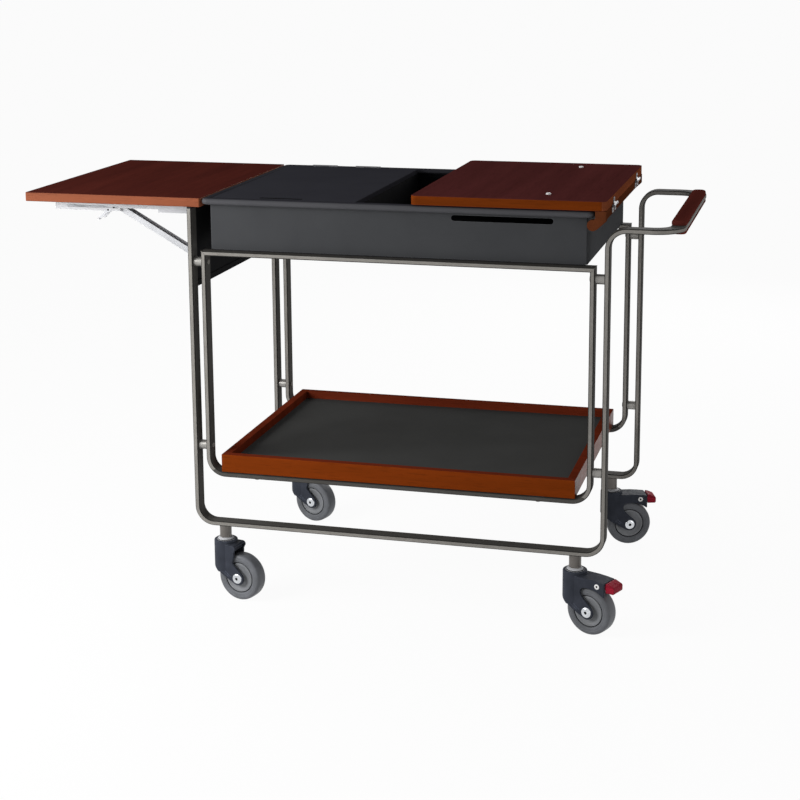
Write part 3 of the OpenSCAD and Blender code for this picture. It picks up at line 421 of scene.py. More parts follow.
@dataclass(frozen=True)
class MouldedFinish(Finish):
    """Moulded plastic or rubber with a fine skin.

    Attributes:
        roughness: Its roughness.
        gloss: Its reflectivity.
        grain: The skin's grains per metre.
        depth: The skin's depth, in metres.
        wear_and_highlight: How much lighter the edges are, from rubbing and as a painted highlight.
    """

    roughness: float = 0.5
    gloss: float = 0.4
    grain: float = 1400.0
    depth: float = 0.00005
    wear_and_highlight: float = 0.3

    def build(self) -> bpy.types.Material:
        """Makes the material."""
        graph = self.graph()
        skin = graph.noise(scale=self.grain, detail=2.0)
        dust = graph.noise(scale=90.0, detail=5.0)
        base = graph.clouded(graph.noise(scale=24.0, detail=4.0), self.colour, depth=0.1)
        # Lighter edges, partly rubbed and partly a painted highlight
        scuffed_and_highlit = graph.worn_and_highlit(base, self.colour, reach=0.0014, share=self.wear_and_highlight, lift=1.9)
        rough = graph.spread(dust, NOISE_SPAN, (self.roughness - 0.07, self.roughness + 0.1))
        bumped = graph.relief(skin, depth=self.depth, strength=0.5)
        return graph.surface(scuffed_and_highlit, rough, bumped, self.gloss)


def hexagon(radius: float, depth: float) -> BMesh:
    """Makes a hexagonal prism round the Z axis."""
    part = bmesh.new()
    bmesh.ops.create_cone(
        part, cap_ends=True, segments=6, radius1=radius, radius2=radius, depth=depth)
    return part


def joined(*parts: BMesh) -> BMesh:
    """Puts several meshes into one and frees them.

    Args:
        parts: The meshes to join.

    Returns:
        One mesh that holds them all.
    """
    whole = bmesh.new()
    for part in parts:
        held = bpy.data.meshes.new("part")
        part.to_mesh(held)
        part.free()
        whole.from_mesh(held)
        bpy.data.meshes.remove(held)
    return whole


def moved(part: BMesh, place: Matrix) -> BMesh:
    """Moves a mesh and returns it."""
    bmesh.ops.transform(part, matrix=place, verts=part.verts)
    return part


def painted(part: BMesh, index: int) -> BMesh:
    """Gives all faces of a mesh one material index and returns it."""
    for face in part.faces:
        face.material_index = index
    return part


def marked(part: BMesh, rule: Rule) -> BMesh:
    """Gives each face the material index that a rule makes of its middle and normal."""
    part.normal_update()
    for face in part.faces:
        face.material_index = rule(face.calc_center_median(), face.normal)
    return part


def eased(part: BMesh, edges: Iterable[bmesh.types.BMEdge], width: float, steps: int = 2) -> BMesh:
    """Rounds edges of a mesh by a width, with a number of faces across, and returns it."""
    bmesh.ops.bevel(
        part, geom=list(edges), offset=width, offset_type="OFFSET", segments=steps, profile=0.5,
        affect="EDGES", clamp_overlap=True, material=-1,
    )
    return part


def corner_edges(part: BMesh, axis: int = 2, at: float | None = None) -> list[bmesh.types.BMEdge]:
    """Finds the edges whose faces meet at a corner.

    Args:
        part: The mesh.
        axis: The axis that the place is measured along.
        at: The place on either side of the middle where both ends lie, or none for any.

    Returns:
        The edges.
    """
    found = [edge for edge in part.edges if len(edge.link_faces) == 2]
    if at is not None:
        found = [
            edge for edge in found
            if all(abs(abs(end.co[axis]) - at) < ON_FACE for end in edge.verts)
        ]
    return [edge for edge in found if edge.calc_face_angle() > CORNER_ANGLE]


def slab(
    outline: Sequence[Point], low: float, high: float, corner: float = 0.0,
    holes: Sequence[Sequence[Point]] = (), ease: float = 0.0, steps: int = 2,
) -> BMesh:
    """Makes a flat piece from its outline.

    Args:
        outline: The outline's corners in X and Y.
        low: The height of its lower face.
        high: The height of its upper face.
        corner: The radius of the outline's corners.
        holes: The outlines of holes through it.
        ease: The rounding of its edges.
        steps: How many faces the roundings have across.

    Returns:
        The closed mesh.
    """
    part = bmesh.new()
    face = part.faces.new([part.verts.new((x, y, low)) for x, y in outline])
    if corner:
        bmesh.ops.bevel(
            part, geom=face.verts[:], offset=corner, offset_type="OFFSET", segments=6,
            profile=0.5, affect="VERTICES", clamp_overlap=True, material=-1,
        )
    if holes:
        bmesh.ops.delete(part, geom=part.faces[:], context="FACES_ONLY")
        for hole in holes:
            ring = [part.verts.new((x, y, low)) for x, y in hole]
            for start, end in zip(ring, ring[1:] + ring[:1]):
                part.edges.new((start, end))
        bmesh.ops.triangle_fill(part, use_beauty=True, use_dissolve=True, edges=part.edges[:])
    raised = bmesh.ops.extrude_face_region(part, geom=part.faces[:])["geom"]
    lifted = [item for item in raised if isinstance(item, bmesh.types.BMVert)]
    bmesh.ops.translate(part, vec=(0.0, 0.0, high - low), verts=lifted)
    bmesh.ops.recalc_face_normals(part, faces=part.faces[:])
    if ease:
        eased(part, corner_edges(part), ease, steps)
    return part


def block(low: Corner, high: Corner, ease: float = 0.0, steps: int = 2) -> BMesh:
    """Makes a block between two corners.

    Args:
        low: Its lowest corner.
        high: Its highest corner.
        ease: The rounding of its edges.
        steps: How many faces the roundings have across.

    Returns:
        The closed mesh.
    """
    part = bmesh.new()
    bmesh.ops.create_cube(part, size=1.0)
    bmesh.ops.scale(part, vec=Vector(high) - Vector(low), verts=part.verts)
    bmesh.ops.translate(part, vec=(Vector(low) + Vector(high)) / 2, verts=part.verts)
    return eased(part, part.edges[:], ease, steps) if ease else part


def turned(profile: Sequence[Point], steps: int = 48, ring: bool = False) -> BMesh:
    """Turns a profile of radius and height about the Z axis.

    Args:
        profile: The profile's points, each a radius and a height.
        steps: How many faces it has around.
        ring: Whether the profile closes on itself and stays clear of the axis.

    Returns:
        The closed mesh.
    """
    part = bmesh.new()
    points = [part.verts.new((radius, 0.0, height)) for radius, height in profile]
    follow = points[1:] + points[:1] if ring else points[1:]
    edges = [part.edges.new(pair) for pair in zip(points, follow)]
    bmesh.ops.spin(
        part, geom=points + edges, cent=(0.0, 0.0, 0.0), axis=(0.0, 0.0, 1.0),
        angle=2 * math.pi, steps=steps, use_merge=True,
    )
    bmesh.ops.remove_doubles(part, verts=part.verts, dist=SEAM)
    bmesh.ops.recalc_face_normals(part, faces=part.faces[:])
    return part


def both_sides(half: Sequence[Point]) -> list[Point]:
    """Mirrors a half profile of radius and height to the other side of height 0."""
    return [*half, *((radius, -height) for radius, height in reversed(half))]


def rectangle(x0: float, x1: float, y0: float, y1: float) -> list[Point]:
    """The four corners of a rectangle."""
    return [(x0, y0), (x1, y0), (x1, y1), (x0, y1)]


def arc(x: float, y: float, radius: float, turns: Iterable[float]) -> list[Point]:
    """Finds the points of a circle at turns from the first axis, in degrees."""
    return [
        (x + radius * math.cos(math.radians(turn)), y + radius * math.sin(math.radians(turn)))
        for turn in turns
    ]


def long_hole(x: float, y: float, length: float, width: float) -> list[Point]:
    """Makes the outline of a slot with round ends, along X, from its middle and size."""
    run, radius = (length - width) / 2, width / 2
    return arc(x + run, y, radius, range(-90, 91, 15)) + arc(x - run, y, radius, range(90, 271, 15))


class Workshop:
    """Turns meshes in millimetres into finished pieces of the cart."""

    def __init__(self) -> None:
        """Makes every finish of the cart."""
        finishes = (
            # The leaf's top is a darker copy of its edges' stain: painted shade on the top, painted
            # light on the edges
            WoodFinish("leaf_top_shaded", (88, 40, 34), Grain.ALONG_Y, 0.1, 0.8, 0.0),
            WoodFinish("leaf_edge_lit", (134, 75, 50), Grain.ALONG_X, 0.1, 0.45, 0.05),
            # The board's top is a darker copy of its edges' stain: painted shade on the top,
            # painted light on the edges
            WoodFinish("board_top_shaded", (92, 46, 45), Grain.ALONG_Y, 0.1, 0.8, 0.0),
            WoodFinish("board_edge_lit", (114, 51, 14), Grain.ALONG_X, 0.16, 0.5, 0.0),
            WoodFinish("board_end", (124, 67, 42), Grain.ALONG_Y, 0.16, 0.5, 0.0),
            WoodFinish("rail_wood", (88, 47, 28), Grain.ALONG_Y, 0.16, 0.5, 0.0),
            WoodFinish("tray_side", (122, 52, 14), Grain.ALONG_X, 0.12, 0.5, 0.0),
            WoodFinish("tray_end", (98, 42, 20), Grain.ALONG_Y, 0.12, 0.34, 0.12),
            # A darker copy of the tray's wood for the rails' inner faces and tops: painted shade
            WoodFinish("tray_inside_painted_shade", (106, 42, 24), Grain.ALONG_X, 0.12, 0.6, 0.0),
            WoodFinish("grip_wood", (100, 46, 40), Grain.ALONG_Y, 0.2, 0.4, 0.0),
            SheetFinish("box_paint", (66, 67, 69), 0.4, 0.05, 0.0, 0.9),
            # Near black for the inside of the well: painted shade
            SheetFinish("box_inside_painted_shade", (14, 14, 16), 0.7, 0.0, 0.02, 0.1),
            SheetFinish("rim_paint", (76, 76, 79), 0.36, 0.08, 0.0, 0.2),
            # A darker copy of the rim's paint for its top and inner faces: painted shade
            SheetFinish("rim_top_painted_shade", (56, 56, 61), 0.8, 0.0, 0.0, 0.0),
            SheetFinish("lid_paint", (58, 58, 64), 0.8, 0.0, 0.0, 0.2),
            SheetFinish("panel_paint", (46, 46, 47), 0.6, 0.02, 0.0, 0.3),
            SheetFinish("tray_laminate", (70, 70, 69), 0.8, 0.0, 0.0, 0.2, 0.0001),
            BareMetalFinish("pewter_tube", (136, 133, 128), 0.34, 0.1, 0.0),
            # Darker copies of the tube's pewter for its corners and its wide faces: painted shade
            BareMetalFinish("pewter_corner_painted_shade", (52, 51, 49), 0.34, 0.2, 0.0),
            BareMetalFinish("pewter_flat_painted_shade", (78, 76, 73), 0.34, 0.1, 0.0),
            BareMetalFinish("bracket_zinc", (188, 189, 192), 0.45, 0.05, 0.1),
            BareMetalFinish("hinge_chrome", (108, 108, 111), 0.3, 0.4, 0.1, rim=1.5),
            BareMetalFinish("bolt_chrome", (205, 208, 212), 0.18, 0.9),
            BareMetalFinish("dark_nickel", (96, 96, 99), 0.35, 0.3, 0.1),
            BareMetalFinish("bolt_steel", (150, 148, 144), 0.3, 0.45, 0.3),
            BareMetalFinish("black_steel", (34, 34, 36), 0.4, 0.3, 0.1),
            BareMetalFinish("stem_steel", (106, 102, 98), 0.34, 0.35, 0.2, (1.0, 1.0, 0.05)),
            MouldedFinish("fork_plastic", (57, 60, 68), 0.4, 0.02, wear_and_highlight=0.8),
            MouldedFinish("tyre_rubber", (102, 104, 108), 0.42, 0.16, 900.0, 0.0001),
            MouldedFinish("hub_plastic", (122, 124, 127), 0.45, 0.25),
            MouldedFinish("black_rubber", (26, 26, 28), 0.6, 0.15),
            MouldedFinish("pedal_plastic", (138, 30, 46), 0.36, 0.04, wear_and_highlight=0.5),
            MouldedFinish("bumper_white", (252, 250, 247), 0.5, 0.5, wear_and_highlight=0.0),
            # Near black for slot walls, grooves, sockets and holes: painted shade
            MouldedFinish("dark_core_painted_shade", (14, 14, 15), 0.7, 0.05),
        )
        self.materials = {finish.name: finish.build() for finish in finishes}
        self.pieces = 0

    def dress(self, finish: str, *nodes: str) -> None:
        """Gives CAD nodes their finish.

        Args:
            finish: The finish's name.
            nodes: The nodes that take it.
        """
        for node in nodes:
            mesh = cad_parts[node].data
            mesh.materials.clear()
            mesh.materials.append(self.materials[finish])
            log.info("node %s: %s", node, finish)

    def piece(
        self, name: str, part: BMesh, finishes: Sequence[str], body: str,
        stands_for: Sequence[str] = (), place: Matrix | None = None, sharp: float = 40.0,
    ) -> bpy.types.Object:
        """Finishes a mesh as a piece of the cart.

        Args:
            name: The piece's name.
            part: Its mesh in millimetres, in the cart's own frame or a caster's.
            finishes: Its finishes, in the order of its material indices.
            body: The body that it rides on.
            stands_for: The CAD nodes that it replaces.
            place: Where a mesh in a frame of its own goes, or none.
            sharp: The angle above which an edge stays sharp, in degrees.

        Returns:
            The finished object.
        """
        bmesh.ops.transform(part, matrix=place or Matrix(), verts=part.verts)
        bmesh.ops.translate(part, vec=CART_MIDDLE, verts=part.verts)
        bmesh.ops.scale(part, vec=(MM, MM, MM), verts=part.verts)
        mesh = bpy.data.meshes.new(name)
        part.to_mesh(mesh)
        part.free()
        mesh.shade_smooth()
        mesh.set_sharp_from_angle(angle=math.radians(sharp))
        for finish in finishes:
            mesh.materials.append(self.materials[finish])
        made = bpy.data.objects.new(name, mesh)
        bpy.context.scene.collection.objects.link(made)
        flats = made.modifiers.new("flats", "WEIGHTED_NORMAL")
        flats.keep_sharp = True
        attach(made, body)
        if stands_for:
            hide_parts(*stands_for)
        self.pieces += 1
        log.info("piece %s: %d faces, rides on %s", name, len(mesh.polygons), body)
        return made

    @staticmethod
    def solid(node: str) -> BMesh:
        """Copies a CAD node's solid, merged, in millimetres in the cart's own frame."""
        made = bmesh.new()
        made.from_mesh(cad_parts[node].data)
        bmesh.ops.scale(made, vec=(1 / MM, 1 / MM, 1 / MM), verts=made.verts)
        bmesh.ops.translate(made, vec=-CART_MIDDLE, verts=made.verts)
        bmesh.ops.remove_doubles(made, verts=made.verts, dist=WELD)
        bmesh.ops.recalc_face_normals(made, faces=made.faces[:])
        return made

    @staticmethod
    def carved(part: BMesh, cutter: BMesh, operation: Carve = Carve.CUT) -> BMesh:
        """Cuts one closed mesh with another, or joins them.

        Args:
            part: The mesh to work on, which is freed.
            cutter: The other mesh, which is freed.
            operation: Whether to cut or to join.

        Returns:
            The new mesh.
        """
        holders = []
        for mesh_name, source in (("work", part), ("cutter", cutter)):
            mesh = bpy.data.meshes.new(mesh_name)
            source.to_mesh(mesh)
            source.free()
            holder = bpy.data.objects.new(mesh_name, mesh)
            bpy.context.scene.collection.objects.link(holder)
            holders.append(holder)
        work, tool = holders
        cut = work.modifiers.new("cut", "BOOLEAN")
        cut.operation = operation.value
        cut.solver = "EXACT"
        cut.object = tool
        evaluated = work.evaluated_get(bpy.context.evaluated_depsgraph_get())
        result = bpy.data.meshes.new_from_object(evaluated)
        made = bmesh.new()
        made.from_mesh(result)
        for holder in holders:
            mesh = holder.data
            bpy.data.objects.remove(holder)
            bpy.data.meshes.remove(mesh)
        bpy.data.meshes.remove(result)
        bmesh.ops.remove_doubles(made, verts=made.verts, dist=WELD)
        return made


@dataclass
class FlatTubes:
    """The bent flat tubes: light narrow faces, with darker wide faces and dark corners painted as
    shade.

    Attributes:
        frames: The tubes bent in the cart's side planes.
        handle: The tube bent in the level plane.
        square: How square a face is to its tube's plane when it counts as a narrow face.
        level: How level with that plane it is when it counts as a wide face.
        shade: The height below which an inner tube's narrow faces are in the tray's shade, where
            the darker tone is painted on them as shadow.
    """

    frames: tuple[str, ...] = (
        "outer_tube_near", "outer_tube_far", "inner_loop_near", "inner_loop_far"
    )
    handle: str = "handle_tube"
    square: float = 0.97
    level: float = 0.12
    shade: float = 284.0

    def faced(self, node: str, axis: int, narrow: int, wide: int) -> BMesh:
        """Makes one tube with a material index for each kind of face; corners have the third.

        Args:
            node: The tube's CAD node.
            axis: The axis that its bends turn about.
            narrow: The index of faces square to that axis.
            wide: The index of faces along it.

        Returns:
            The tube's mesh.
        """
        shade_top = self.shade if node.startswith("inner") else 0.0

        def tone(middle: Vector, normal: Vector) -> int:
            """Names a face's index."""
            turn = abs(normal[axis])
            if turn > self.square:
                # Narrow faces under the tray take the darker tone as painted shadow
                return wide if middle.z < shade_top else narrow
            return wide if turn < self.level else 2

        return marked(Workshop.solid(node), tone)

    def build(self, shop: Workshop) -> None:
        """Builds the four frame tubes and the handle's cross run."""
        # The second and third tones are the pewter darkened as painted shade on the wide faces and
        # the corners
        tones = ["pewter_tube", "pewter_flat_painted_shade", "pewter_corner_painted_shade"]
        for node in self.frames:
            tube = self.faced(node, axis=1, narrow=0, wide=1)
            shop.piece(f"steel_{node}", tube, tones, "frame", [node])
        # The handle's upper and lower faces take the darker tone as painted shade
        handle = self.faced(self.handle, axis=2, narrow=1, wide=0)
        shop.piece(f"steel_{self.handle}", handle, tones, "frame", [self.handle])


@dataclass
class SideFrames:
    """The fittings of the two side frames.

    Attributes:
        fittings: Each finish with the nodes that take it.
    """

    fittings: tuple[tuple[str, ...], ...] = (
        ("pewter_tube", "frame_bolts"),
        ("bolt_steel", "frame_studs"),
        ("black_rubber", "post_caps", "seat_pads"),
    )

    def build(self, shop: Workshop) -> None:
        """Dresses the frames' fittings."""
        for fitting in self.fittings:
            shop.dress(*fitting)


@dataclass
class PushHandle:
    """The two halves of the wooden grip on the handle's cross run.

    Attributes:
        middle: The distance of the cross run from the cart's middle.
        width: The grip's width.
        half_length: Half the grip's length.
        upper: The lower and the upper height of the upper half.
        lower: The lower and the upper height of the lower half.
        corner: The radius of the grip's corners, seen from above.
        edge: The rounding of its long edges.
        seam: The rounding of its edges at the tube.
    """

    middle: float = 563.0
    width: float = 30.0
    half_length: float = 215.0
    upper: Point = (831.5, 842.0)
    lower: Point = (813.5, 821.5)
    corner: float = 12.0
    edge: float = 5.5
    seam: float = 0.6

    def half(self, low: float, high: float, rounded_z: float) -> BMesh:
        """Makes one half of the grip.

        Args:
            low: Its lower height.
            high: Its upper height.
            rounded_z: The height of the face whose edges are rounded.

        Returns:
            The half's mesh.
        """
        x0, x1 = self.middle - self.width / 2, self.middle + self.width / 2
        outline = rectangle(x0, x1, -self.half_length, self.half_length)
        part = slab(outline, low, high, self.corner)
        eased(part, corner_edges(part, at=rounded_z), self.edge, steps=4)
        other_z = low + high - rounded_z
        return eased(part, corner_edges(part, at=other_z), self.seam, steps=1)

    def build(self, shop: Workshop) -> None:
        """Builds the grip."""
        upper, lower = self.half(*self.upper, self.upper[1]), self.half(*self.lower, self.lower[0])
        for node, part in (("grip_upper", upper), ("grip_lower", lower)):
            shop.piece(f"wood_{node}", part, ["grip_wood"], "frame", [node])


@dataclass
class Tray:
    """The lower tray: four mitred rails round a sunk floor.

    Attributes:
        half_length: Half its length.
        half_width: Half its width.
        rail: The rails' thickness.
        heights: The rails' lower and upper height.
        ease: The rounding of the rails' edges.
        turns: How squarely an inner face looks inward, and a top up, to count as one.
    """

    half_length: float = 376.0
    half_width: float = 274.0
    rail: float = 17.0
    heights: Point = (279.7, 317.7)
    ease: float = 0.9
    turns: Point = (0.9, 0.5)

    def rails(self, length: float, reach: float) -> BMesh:
        """Makes two opposite rails, which run along X.

        Args:
            length: Half the rails' length.
            reach: The distance of their outer faces from the middle.

        Returns:
            Both rails; their inner faces and their tops have the second material index, a darker
            copy of the wood as painted shade.
        """
        parts = []
        inward, up = self.turns
        for side in (-1, 1):
            far, near, end = side * reach, side * (reach - self.rail), length - self.rail
            outline = [(-length, far), (length, far), (end, near), (-end, near)]
            rail = slab(outline, *self.heights, ease=self.ease)
            # Inner faces and tops take the darker wood as painted shade
            parts.append(marked(
                rail, lambda _, normal: int(normal.y * side < -inward or normal.z > up)))
        return joined(*parts)

    def build(self, shop: Workshop) -> None:
        """Builds the rails and dresses the floor."""
        sides = self.rails(self.half_length, self.half_width)
        ends = moved(self.rails(self.half_width, self.half_length), QUARTER_TURN)
        for name, part, finish, node in (
            ("tray_long_rails", sides, "tray_side", "tray_sides"),
            ("tray_cross_rails", ends, "tray_end", "tray_ends"),
        ):
            shop.piece(name, part, [finish, "tray_inside_painted_shade"], "frame", [node])
        shop.dress("tray_laminate", "tray_floor")


@dataclass
class Well:
    """The shallow box under the worktop with its rim, and the panel between the left posts.

    Attributes:
        half_length: Half its outer length.
        half_width: Half its outer width.
        heights: Its lower and upper height.
        sheet: The thickness of its sheet.
        fold: The radius of its folded corners.
        slot_middle: The middle of the front slot, along the cart and up.
        slot_size: The front slot's length and height.
        overcut: How far what cuts the sheet reaches past it.
        shade_strip: The lower height and inner edge of the black strips that fill the gap under the
            box as painted shadow.
        shade_strip_inset: How far those strips stay inside the box, at its ends and its sides.
        rim_turn: How squarely a face of the rim looks up to count as its top.
    """

    half_length: float = 392.0
    half_width: float = 259.0
    heights: Point = (755.0, 849.0)
    sheet: float = 2.0
    fold: float = 3.0
    slot_middle: Point = (221.0, 838.0)
    slot_size: Point = (206.0, 12.0)
    overcut: Point = (5.0, 9.0)
    shade_strip: Point = (752.5, 249.0)
    shade_strip_inset: Point = (5.0, 1.5)
    rim_turn: float = 0.8

    def inward(self, middle: Vector, normal: Vector) -> bool:
        """Whether a face looks toward the middle of the box."""
        along, across = middle.x * normal.x, middle.y * normal.y
        return along < -self.half_length / 2 or across < -self.half_width / 2

    def shell(self) -> BMesh:
        """Makes the folded sheet round the box; its inner side has the second material index, near
        black as painted shade.
        """
        length, width = self.half_length, self.half_width
        outside = slab(rectangle(-length, length, -width, width), *self.heights, self.fold)
        low, high = self.heights
        x, y = length - self.sheet, width - self.sheet
        past, through = self.overcut
        inner = rectangle(-x, x, -y, y)
        inside = slab(inner, low - past, high + past, self.fold - self.sheet)
        hole = long_hole(*self.slot_middle, *self.slot_size)
        slot = moved(slab(hole, width - through, width + through), UPRIGHT)
        shell = Workshop.carved(Workshop.carved(outside, inside), slot)
        return marked(shell, lambda middle, normal: int(
            self.inward(middle, normal) and abs(normal.z) < LEVEL))

    def rim(self) -> BMesh:
        """Makes the rim from its solid; upper and inner faces have the second material index, its
        paint darkened as painted shade.
        """
        return marked(Workshop.solid("top_rim"), lambda middle, normal: int(
            normal.z > self.rim_turn or self.inward(middle, normal)))

    def shade_strips(self) -> BMesh:
        """Makes black strips between the box and the upper bars, which fill the gap there as
        painted shadow.
        """
        low, inner = self.shade_strip
        x, y = self.half_length - self.shade_strip_inset[0], self.half_width - self.shade_strip_inset[1]
        strips = []
        for side in (-1, 1):
            near, far = sorted((side * inner, side * y))
            strips.append(block((-x, near, low), (x, far, self.heights[0]), ease=0.4))
        return joined(*strips)

    def build(self, shop: Workshop) -> None:
        """Builds the shell and the rim and dresses the other nodes."""
        shop.piece("well_shell", self.shell(), ["box_paint", "box_inside_painted_shade"], "frame",
                   ["front_panel", "back_panel", "side_panels"])
        # Black strips in the gap under the box: painted shadow
        shop.piece("well_shade_strips", self.shade_strips(), ["black_rubber"], "frame")
        # The well's floor and divider are near black as painted shade
        shop.dress("box_inside_painted_shade", "box_floor", "box_divider")
        paints = ["rim_paint", "rim_top_painted_shade"]
        shop.piece("well_rim", self.rim(), paints, "frame", ["top_rim"])
        shop.dress("panel_paint", "end_panel")


@dataclass
class Lid:
    """The lid over the left part of the well.

    Attributes:
        x_range: Its left and right edge.
        y_range: Its front and rear edge.
        heights: Its lower and upper height.
        slot_middle: The middle of the finger slot.
        slot_size: The finger slot's length and width.
        slot_wall: How far past the slot a face's middle still counts as on its wall.
        steep: The share along Z under which its normal does.
        ease: The rounding of its edges.
    """

    x_range: Point = (-389.0, -81.0)
    y_range: Point = (-256.0, 252.0)
    heights: Point = (852.3, 862.3)
    slot_middle: Point = (-243.5, -240.0)
    slot_size: Point = (93.0, 12.0)
    slot_wall: float = 0.5
    steep: float = 0.5
    ease: float = 0.8

    def build(self, shop: Workshop) -> None:
        """Builds the lid, with its slot's walls painted dark as shade, and dresses its hinges."""
        hole = long_hole(*self.slot_middle, *self.slot_size)
        outline = rectangle(*self.x_range, *self.y_range)
        part = slab(outline, *self.heights, holes=[hole], ease=self.ease)

        def in_slot(middle: Vector, normal: Vector) -> int:
            """Names a face's index."""
            away = middle.xy - Vector(self.slot_middle)
            length, width = (size / 2 + self.slot_wall for size in self.slot_size)
            near = abs(away.x) < length and abs(away.y) < width
            return int(near and abs(normal.z) < self.steep)

        # The slot's walls take the near-black finish as painted shade
        marked(part, in_slot)
        shop.piece("lid_plate", part, ["lid_paint", "dark_core_painted_shade"], "lid", ["lid"])
        shop.dress("dark_nickel", "lid_hinge_fixed", "lid_hinge_moving", "hinge_pins")


@dataclass
class FlipBoard:
    """The board that flips over from the well onto the handle, with its hinge rail.

    Attributes:
        x_range: The board's left and right edge.
        half_width: Half its width.
        heights: Its lower and upper height.
        corner: The radius of its corners.
        end_turn: How squarely a face looks to the right to count as the board's end.
        rail_x: The hinge rail's left and right face.
        rail_z: The hinge rail's lower and upper height.
        lug_y: The inner and outer face of the rail's end pieces.
        lobe: The middle and the radius of the round lobe under the rim.
        lug_foot: The lower height of the end piece's outer edge.
        bumper: The place of a bumper on the board.
        bumper_size: A bumper's radius and height.
        hinge_y: The distance of a hinge from the middle.
        knuckle: The spacing of a hinge's knuckles.
        screw_rise: The distance of a hinge's screws from its line.
        leaf_t: The thickness of a hinge's leaf.
        screw: The profile of a screw's head.
    """

    x_range: Point = (39.0, 430.0)
    half_width: float = 278.0
    heights: Point = (864.3, 883.3)
    corner: float = 12.0
    end_turn: float = 0.35
    rail_x: Point = (408.3, 430.0)
    rail_z: Point = (847.0, 864.0)
    lug_y: Point = (262.0, 276.0)
    lobe: Corner = (403.3, 835.7, 11.0)
    lug_foot: float = 844.5
    bumper: Point = (304.0, 205.0)
    bumper_size: Point = (5.0, 3.0)
    hinge_y: float = 175.0
    knuckle: float = 50 / 3
    screw_rise: float = 9.0
    leaf_t: float = 1.2
    screw: tuple[Point, ...] = (
        (0.0, 0.35), (0.6, 0.35), (0.7, 0.8), (1.5, 0.7), (2.2, 0.0), (0.0, 0.0)
    )

    def board(self) -> BMesh:
        """Makes the board; its top takes a darker copy of the stain as painted shade, its edges
        have the second material index, a lighter copy as painted light, and its right end the
        third.
        """
        y = self.half_width
        outline = rectangle(*self.x_range, -y, y)
        part = slab(outline, *self.heights, self.corner, ease=1.2, steps=3)
        return marked(part, lambda _, normal: (
            0 if abs(normal.z) > LEVEL else 2 if normal.x > self.end_turn else 1))

    def lug(self, side: int) -> BMesh:
        """Makes one end piece of the rail.

        Args:
            side: -1 for the near one, 1 for the far one.

        Returns:
            The end piece's mesh.
        """
        x, z, radius = self.lobe
        (left, right), top = self.rail_x, self.rail_z[1]
        outline = [
            (left, top), (left, z + 12.4), *arc(x, z, radius, range(80, 301, 10)),
            (x + 9.0, z - 7.6), (right, self.lug_foot), (right, top),
        ]
        part = moved(slab(outline, -self.lug_y[1], -self.lug_y[0], ease=1.0), UPRIGHT)
        return part if side > 0 else moved(part, Matrix.Translation((0.0, -sum(self.lug_y), 0.0)))

    def screws(self, up: int, offsets: Sequence[float]) -> BMesh:
        """Makes the screw heads of both hinges on one side of the hinge line.

        Args:
            up: 1 for the board's leaves, -1 for the rail's.
            offsets: The screws' places along a hinge.

        Returns:
            All the heads in one mesh.
        """
        heads = []
        facing = Matrix.Rotation(math.radians(90), 4, "Y")
        for side in (-1, 1):
            for offset in offsets:
                y, z = side * self.hinge_y + offset, self.heights[0] + up * self.screw_rise
                place = Matrix.Translation((self.x_range[1] + self.leaf_t, y, z))
                heads.append(moved(turned(self.screw, steps=20), place @ facing))
        return joined(*heads)

    def pads(self) -> BMesh:
        """Makes the two dished rubber bumpers."""
        radius, height = self.bumper_size
        profile = [
            (0.0, height - 1.2), (1.1, height - 1.2), (1.5, height - 0.3), (2.1, height),
            (radius - 1.0, height), (radius - 0.3, height - 0.4), (radius, height - 1.2),
            (radius, 0.0), (0.0, 0.0),
        ]
        x, y = self.bumper
        places = [Matrix.Translation((x, side * y, self.heights[1])) for side in (-1, 1)]
        return joined(*(moved(turned(profile, steps=32), place) for place in places))

    def build(self, shop: Workshop) -> None:
        """Builds the board, its rail, its bumpers and its screws."""
        woods = ["board_top_shaded", "board_edge_lit", "board_end"]
        shop.piece("flip_board_wood", self.board(), woods, "board", ["flip_board"])
        (x0, x1), y, (z0, z1) = self.rail_x, self.lug_y[0], self.rail_z
        rail = block((x0, -y, z0), (x1, y, z1), ease=0.8)
        shop.piece("hinge_rail_wood", rail, ["rail_wood"], "frame", ["hinge_rail"])
        lugs = joined(self.lug(-1), self.lug(1))
        bmesh.ops.recalc_face_normals(lugs, faces=lugs.faces[:])
        shop.piece("rail_lugs_wood", lugs, ["rail_wood"], "frame", ["rail_lugs"])
        white = "bumper_white"
        shop.piece("rubber_bumpers", self.pads(), [white], "board", ["bumpers"])
        shop.dress("hinge_chrome", "board_hinge_fixed", "board_hinge_moving")
        shop.dress("bolt_steel", "rail_angles")
        shop.piece("board_screws", self.screws(1, [0.0]), ["hinge_chrome"], "board")
        fixed = self.screws(-1, [-self.knuckle, self.knuckle])
        shop.piece("rail_screws", fixed, ["hinge_chrome"], "frame")


@dataclass
class DropLeaf:
    """The fold-down leaf on its two brackets.

    Attributes:
        x_range: Its left and right edge.
        half_width: Half its width.
        heights: Its lower and upper height.
        corner: The radius of its corners.
    """

    x_range: Point = (-803.0, -410.0)
    half_width: float = 272.5
    heights: Point = (843.3, 862.3)
    corner: float = 3.0

    def build(self, shop: Workshop) -> None:
        """Builds the leaf and dresses its brackets."""
        y = self.half_width
        outline = rectangle(*self.x_range, -y, y)
        part = slab(outline, *self.heights, self.corner, ease=1.2, steps=3)
        # The top takes the darker copy of the stain as painted shade, the edges the lighter copy as
        # painted light
        marked(part, lambda _, normal: int(abs(normal.z) <= LEVEL))
        woods = ["leaf_top_shaded", "leaf_edge_lit"]
        shop.piece("leaf_wood_board", part, woods, "leaf", ["leaf"])
        brackets = ("shelf_arms", "wall_arms", "strut_near", "strut_far", "lever_near", "lever_far")
        shop.dress("bracket_zinc", *brackets)
        shop.dress("black_steel", "arm_pins", "strut_pivots")


